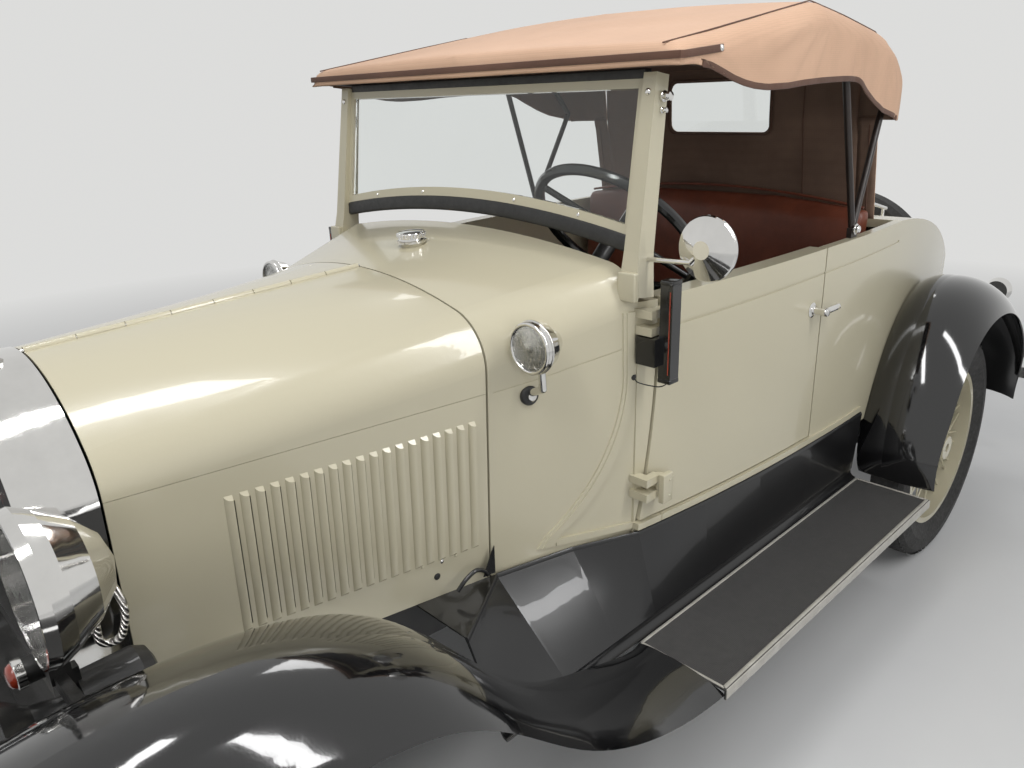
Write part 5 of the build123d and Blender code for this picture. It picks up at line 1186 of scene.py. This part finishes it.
def add_dash_dials():
    """A plain cluster of dials on the dashboard."""
    height = 1.100
    place = (0.0, along(DASH_FACE + 0.0015), height)
    rounded_block("dial_plate", 0.004, (0.300, 0.004, 0.110), CHROME, place)
    for index, (x, radius) in enumerate(((0.0, 0.038), (-0.095, 0.026), (0.095, 0.026))):
        face = [(radius, 0.0), (radius * 0.98, 0.0008), (radius * 0.5, 0.0010), (0.0010, 0.0010)]
        lathe(f"dial_face_{index}", face, (x, along(DASH_FACE + 0.0035), height), (0, 1, 0), DIAL, steps=36)
        rim = ring((x, along(DASH_FACE + 0.0055), height), radius, 48)
        tube(f"dial_rim_{index}", rim, 0.0025, CHROME, steps=8, closed=True)


# Studio

CAMERA_PLACE = (1.5241, -1.5927, 1.5338)
CAMERA_LENS = 28.09
SENSOR_WIDTH = 36.0
# The photograph's right, down and forward directions
CAMERA_RIGHT = (0.69790311, 0.71553522, -0.03066922)
CAMERA_DOWN = (0.22136846, -0.25624329, -0.94092262)
CAMERA_FORWARD = (-0.68112206, 0.64988362, -0.33722992)
BACKDROP = (0.72, 0.72, 0.71, 1.0)
WORLD_LIGHT = (0.80, 0.82, 0.85, 1.0)
FLOOR_HALF, FLOOR_Z = 30.0, -0.001


def add_camera():
    """The camera at the photograph's place and angle."""
    data = bpy.data.cameras.new("camera")
    data.sensor_width = SENSOR_WIDTH
    data.lens = CAMERA_LENS
    data.clip_start = 0.05
    camera = bpy.data.objects.new("camera", data)
    bpy.context.scene.collection.objects.link(camera)
    turn = Matrix((Vector(CAMERA_RIGHT), -Vector(CAMERA_DOWN), -Vector(CAMERA_FORWARD))).transposed().to_4x4()
    camera.matrix_world = Matrix.Translation(CAMERA_PLACE) @ turn
    bpy.context.scene.camera = camera


def add_area(name, place, target, size, power, mirrored=True):
    """A soft rectangular lamp that faces a target, seen or not seen in polished faces."""
    data = bpy.data.lights.new(name, "AREA")
    data.shape = "RECTANGLE"
    data.size, data.size_y = size
    data.energy = power
    lamp = bpy.data.objects.new(name, data)
    bpy.context.scene.collection.objects.link(lamp)
    lamp.location = place
    lamp.rotation_euler = (Vector(target) - Vector(place)).to_track_quat("-Z", "Y").to_euler()
    lamp.visible_glossy = mirrored


def shows_backdrop(tree):
    """1 for rays that show the surroundings: from the camera, through glass and off bright faces."""
    rays = tree.nodes.new("ShaderNodeLightPath")
    seen = rays.outputs["Is Camera Ray"]
    for kind in ("Is Transmission Ray", "Is Glossy Ray"):
        larger = tree.nodes.new("ShaderNodeMath")
        larger.operation = "MAXIMUM"
        tree.links.new(seen, larger.inputs[0])
        tree.links.new(rays.outputs[kind], larger.inputs[1])
        seen = larger.outputs[0]
    return seen


def studio_floor():
    """Pale floor that keeps the shadow and fades into the pale surroundings further out."""
    paint = Paint("studio_floor", roughness=0.6)
    paint.colour(paint.ramp(paint.noise(1.5, 3.0), (0.3, (0.70, 0.70, 0.695)), (0.7, (0.74, 0.74, 0.73))))
    reach = paint.node("ShaderNodeVectorMath", operation="LENGTH")
    paint.link(paint.place, reach.inputs[0])
    far = paint.span(reach.outputs["Value"], 2.6, 6.5)
    glow = paint.node("ShaderNodeEmission")
    glow.inputs["Color"].default_value = BACKDROP
    glow.inputs["Strength"].default_value = 1.0
    mixed = paint.node("ShaderNodeMixShader")
    paint.link(paint.maths("MULTIPLY", far, shows_backdrop(paint.tree)), mixed.inputs[0])
    paint.link(paint.shader.outputs[0], mixed.inputs[1])
    paint.link(glow.outputs[0], mixed.inputs[2])
    output = [n for n in paint.tree.nodes if n.type == "OUTPUT_MATERIAL"][0]
    paint.link(mixed.outputs[0], output.inputs["Surface"])
    return paint.material


def add_surroundings():
    """A world that lights the car softly and shows the pale backdrop."""
    world = bpy.data.worlds.new("studio")
    bpy.context.scene.world = world
    world.use_nodes = True
    tree = world.node_tree
    light = tree.nodes["Background"]
    light.inputs["Color"].default_value = WORLD_LIGHT
    light.inputs["Strength"].default_value = 0.36
    backdrop = tree.nodes.new("ShaderNodeBackground")
    backdrop.inputs["Color"].default_value = BACKDROP
    backdrop.inputs["Strength"].default_value = 1.0
    mixed = tree.nodes.new("ShaderNodeMixShader")
    tree.links.new(shows_backdrop(tree), mixed.inputs[0])
    tree.links.new(light.outputs[0], mixed.inputs[1])
    tree.links.new(backdrop.outputs[0], mixed.inputs[2])
    tree.links.new(mixed.outputs[0], tree.nodes["World Output"].inputs["Surface"])


def add_studio():
    """Pale floor, plain surroundings and soft lamps overhead."""
    bpy.context.scene.view_settings.view_transform = "Standard"
    mesh = bpy.data.meshes.new("floor_sheet")
    corners = [(x * FLOOR_HALF, y * FLOOR_HALF, FLOOR_Z) for x, y in ((-1, -1), (1, -1), (1, 1), (-1, 1))]
    mesh.from_pydata(corners, [], [(0, 1, 2, 3)])
    floor = bpy.data.objects.new("floor_sheet", mesh)
    bpy.context.scene.collection.objects.link(floor)
    mesh.materials.append(studio_floor())
    add_surroundings()
    add_area("overhead_front", (0.6, -1.6, 3.4), (0.0, -0.6, 0.9), (0.35, 2.4), 38.0)
    add_area("overhead_left", (2.6, 0.2, 3.2), (0.2, 0.0, 0.9), (0.35, 3.0), 46.0)
    add_area("overhead_rear", (-1.6, 2.2, 3.4), (0.0, 0.4, 0.9), (2.2, 1.2), 40.0)
    add_area("fill_left", (4.2, -2.6, 1.7), (0.2, -0.2, 0.8), (2.6, 1.6), 36.0, False)


dress_nodes()
add_camera()
add_studio()
top_rows = make_canopy()
top_shell = node_tree("canopy")
add_front_band(top_shell)
add_hems(top_rows)
add_top_seams(top_shell)
add_header_lining()
make_curtain()
make_seats()
add_windshield_trim()
add_cowl_trim()
add_board_trim()
add_door_trim()
add_dash_dials()
add_bar_lamps()
add_treads()
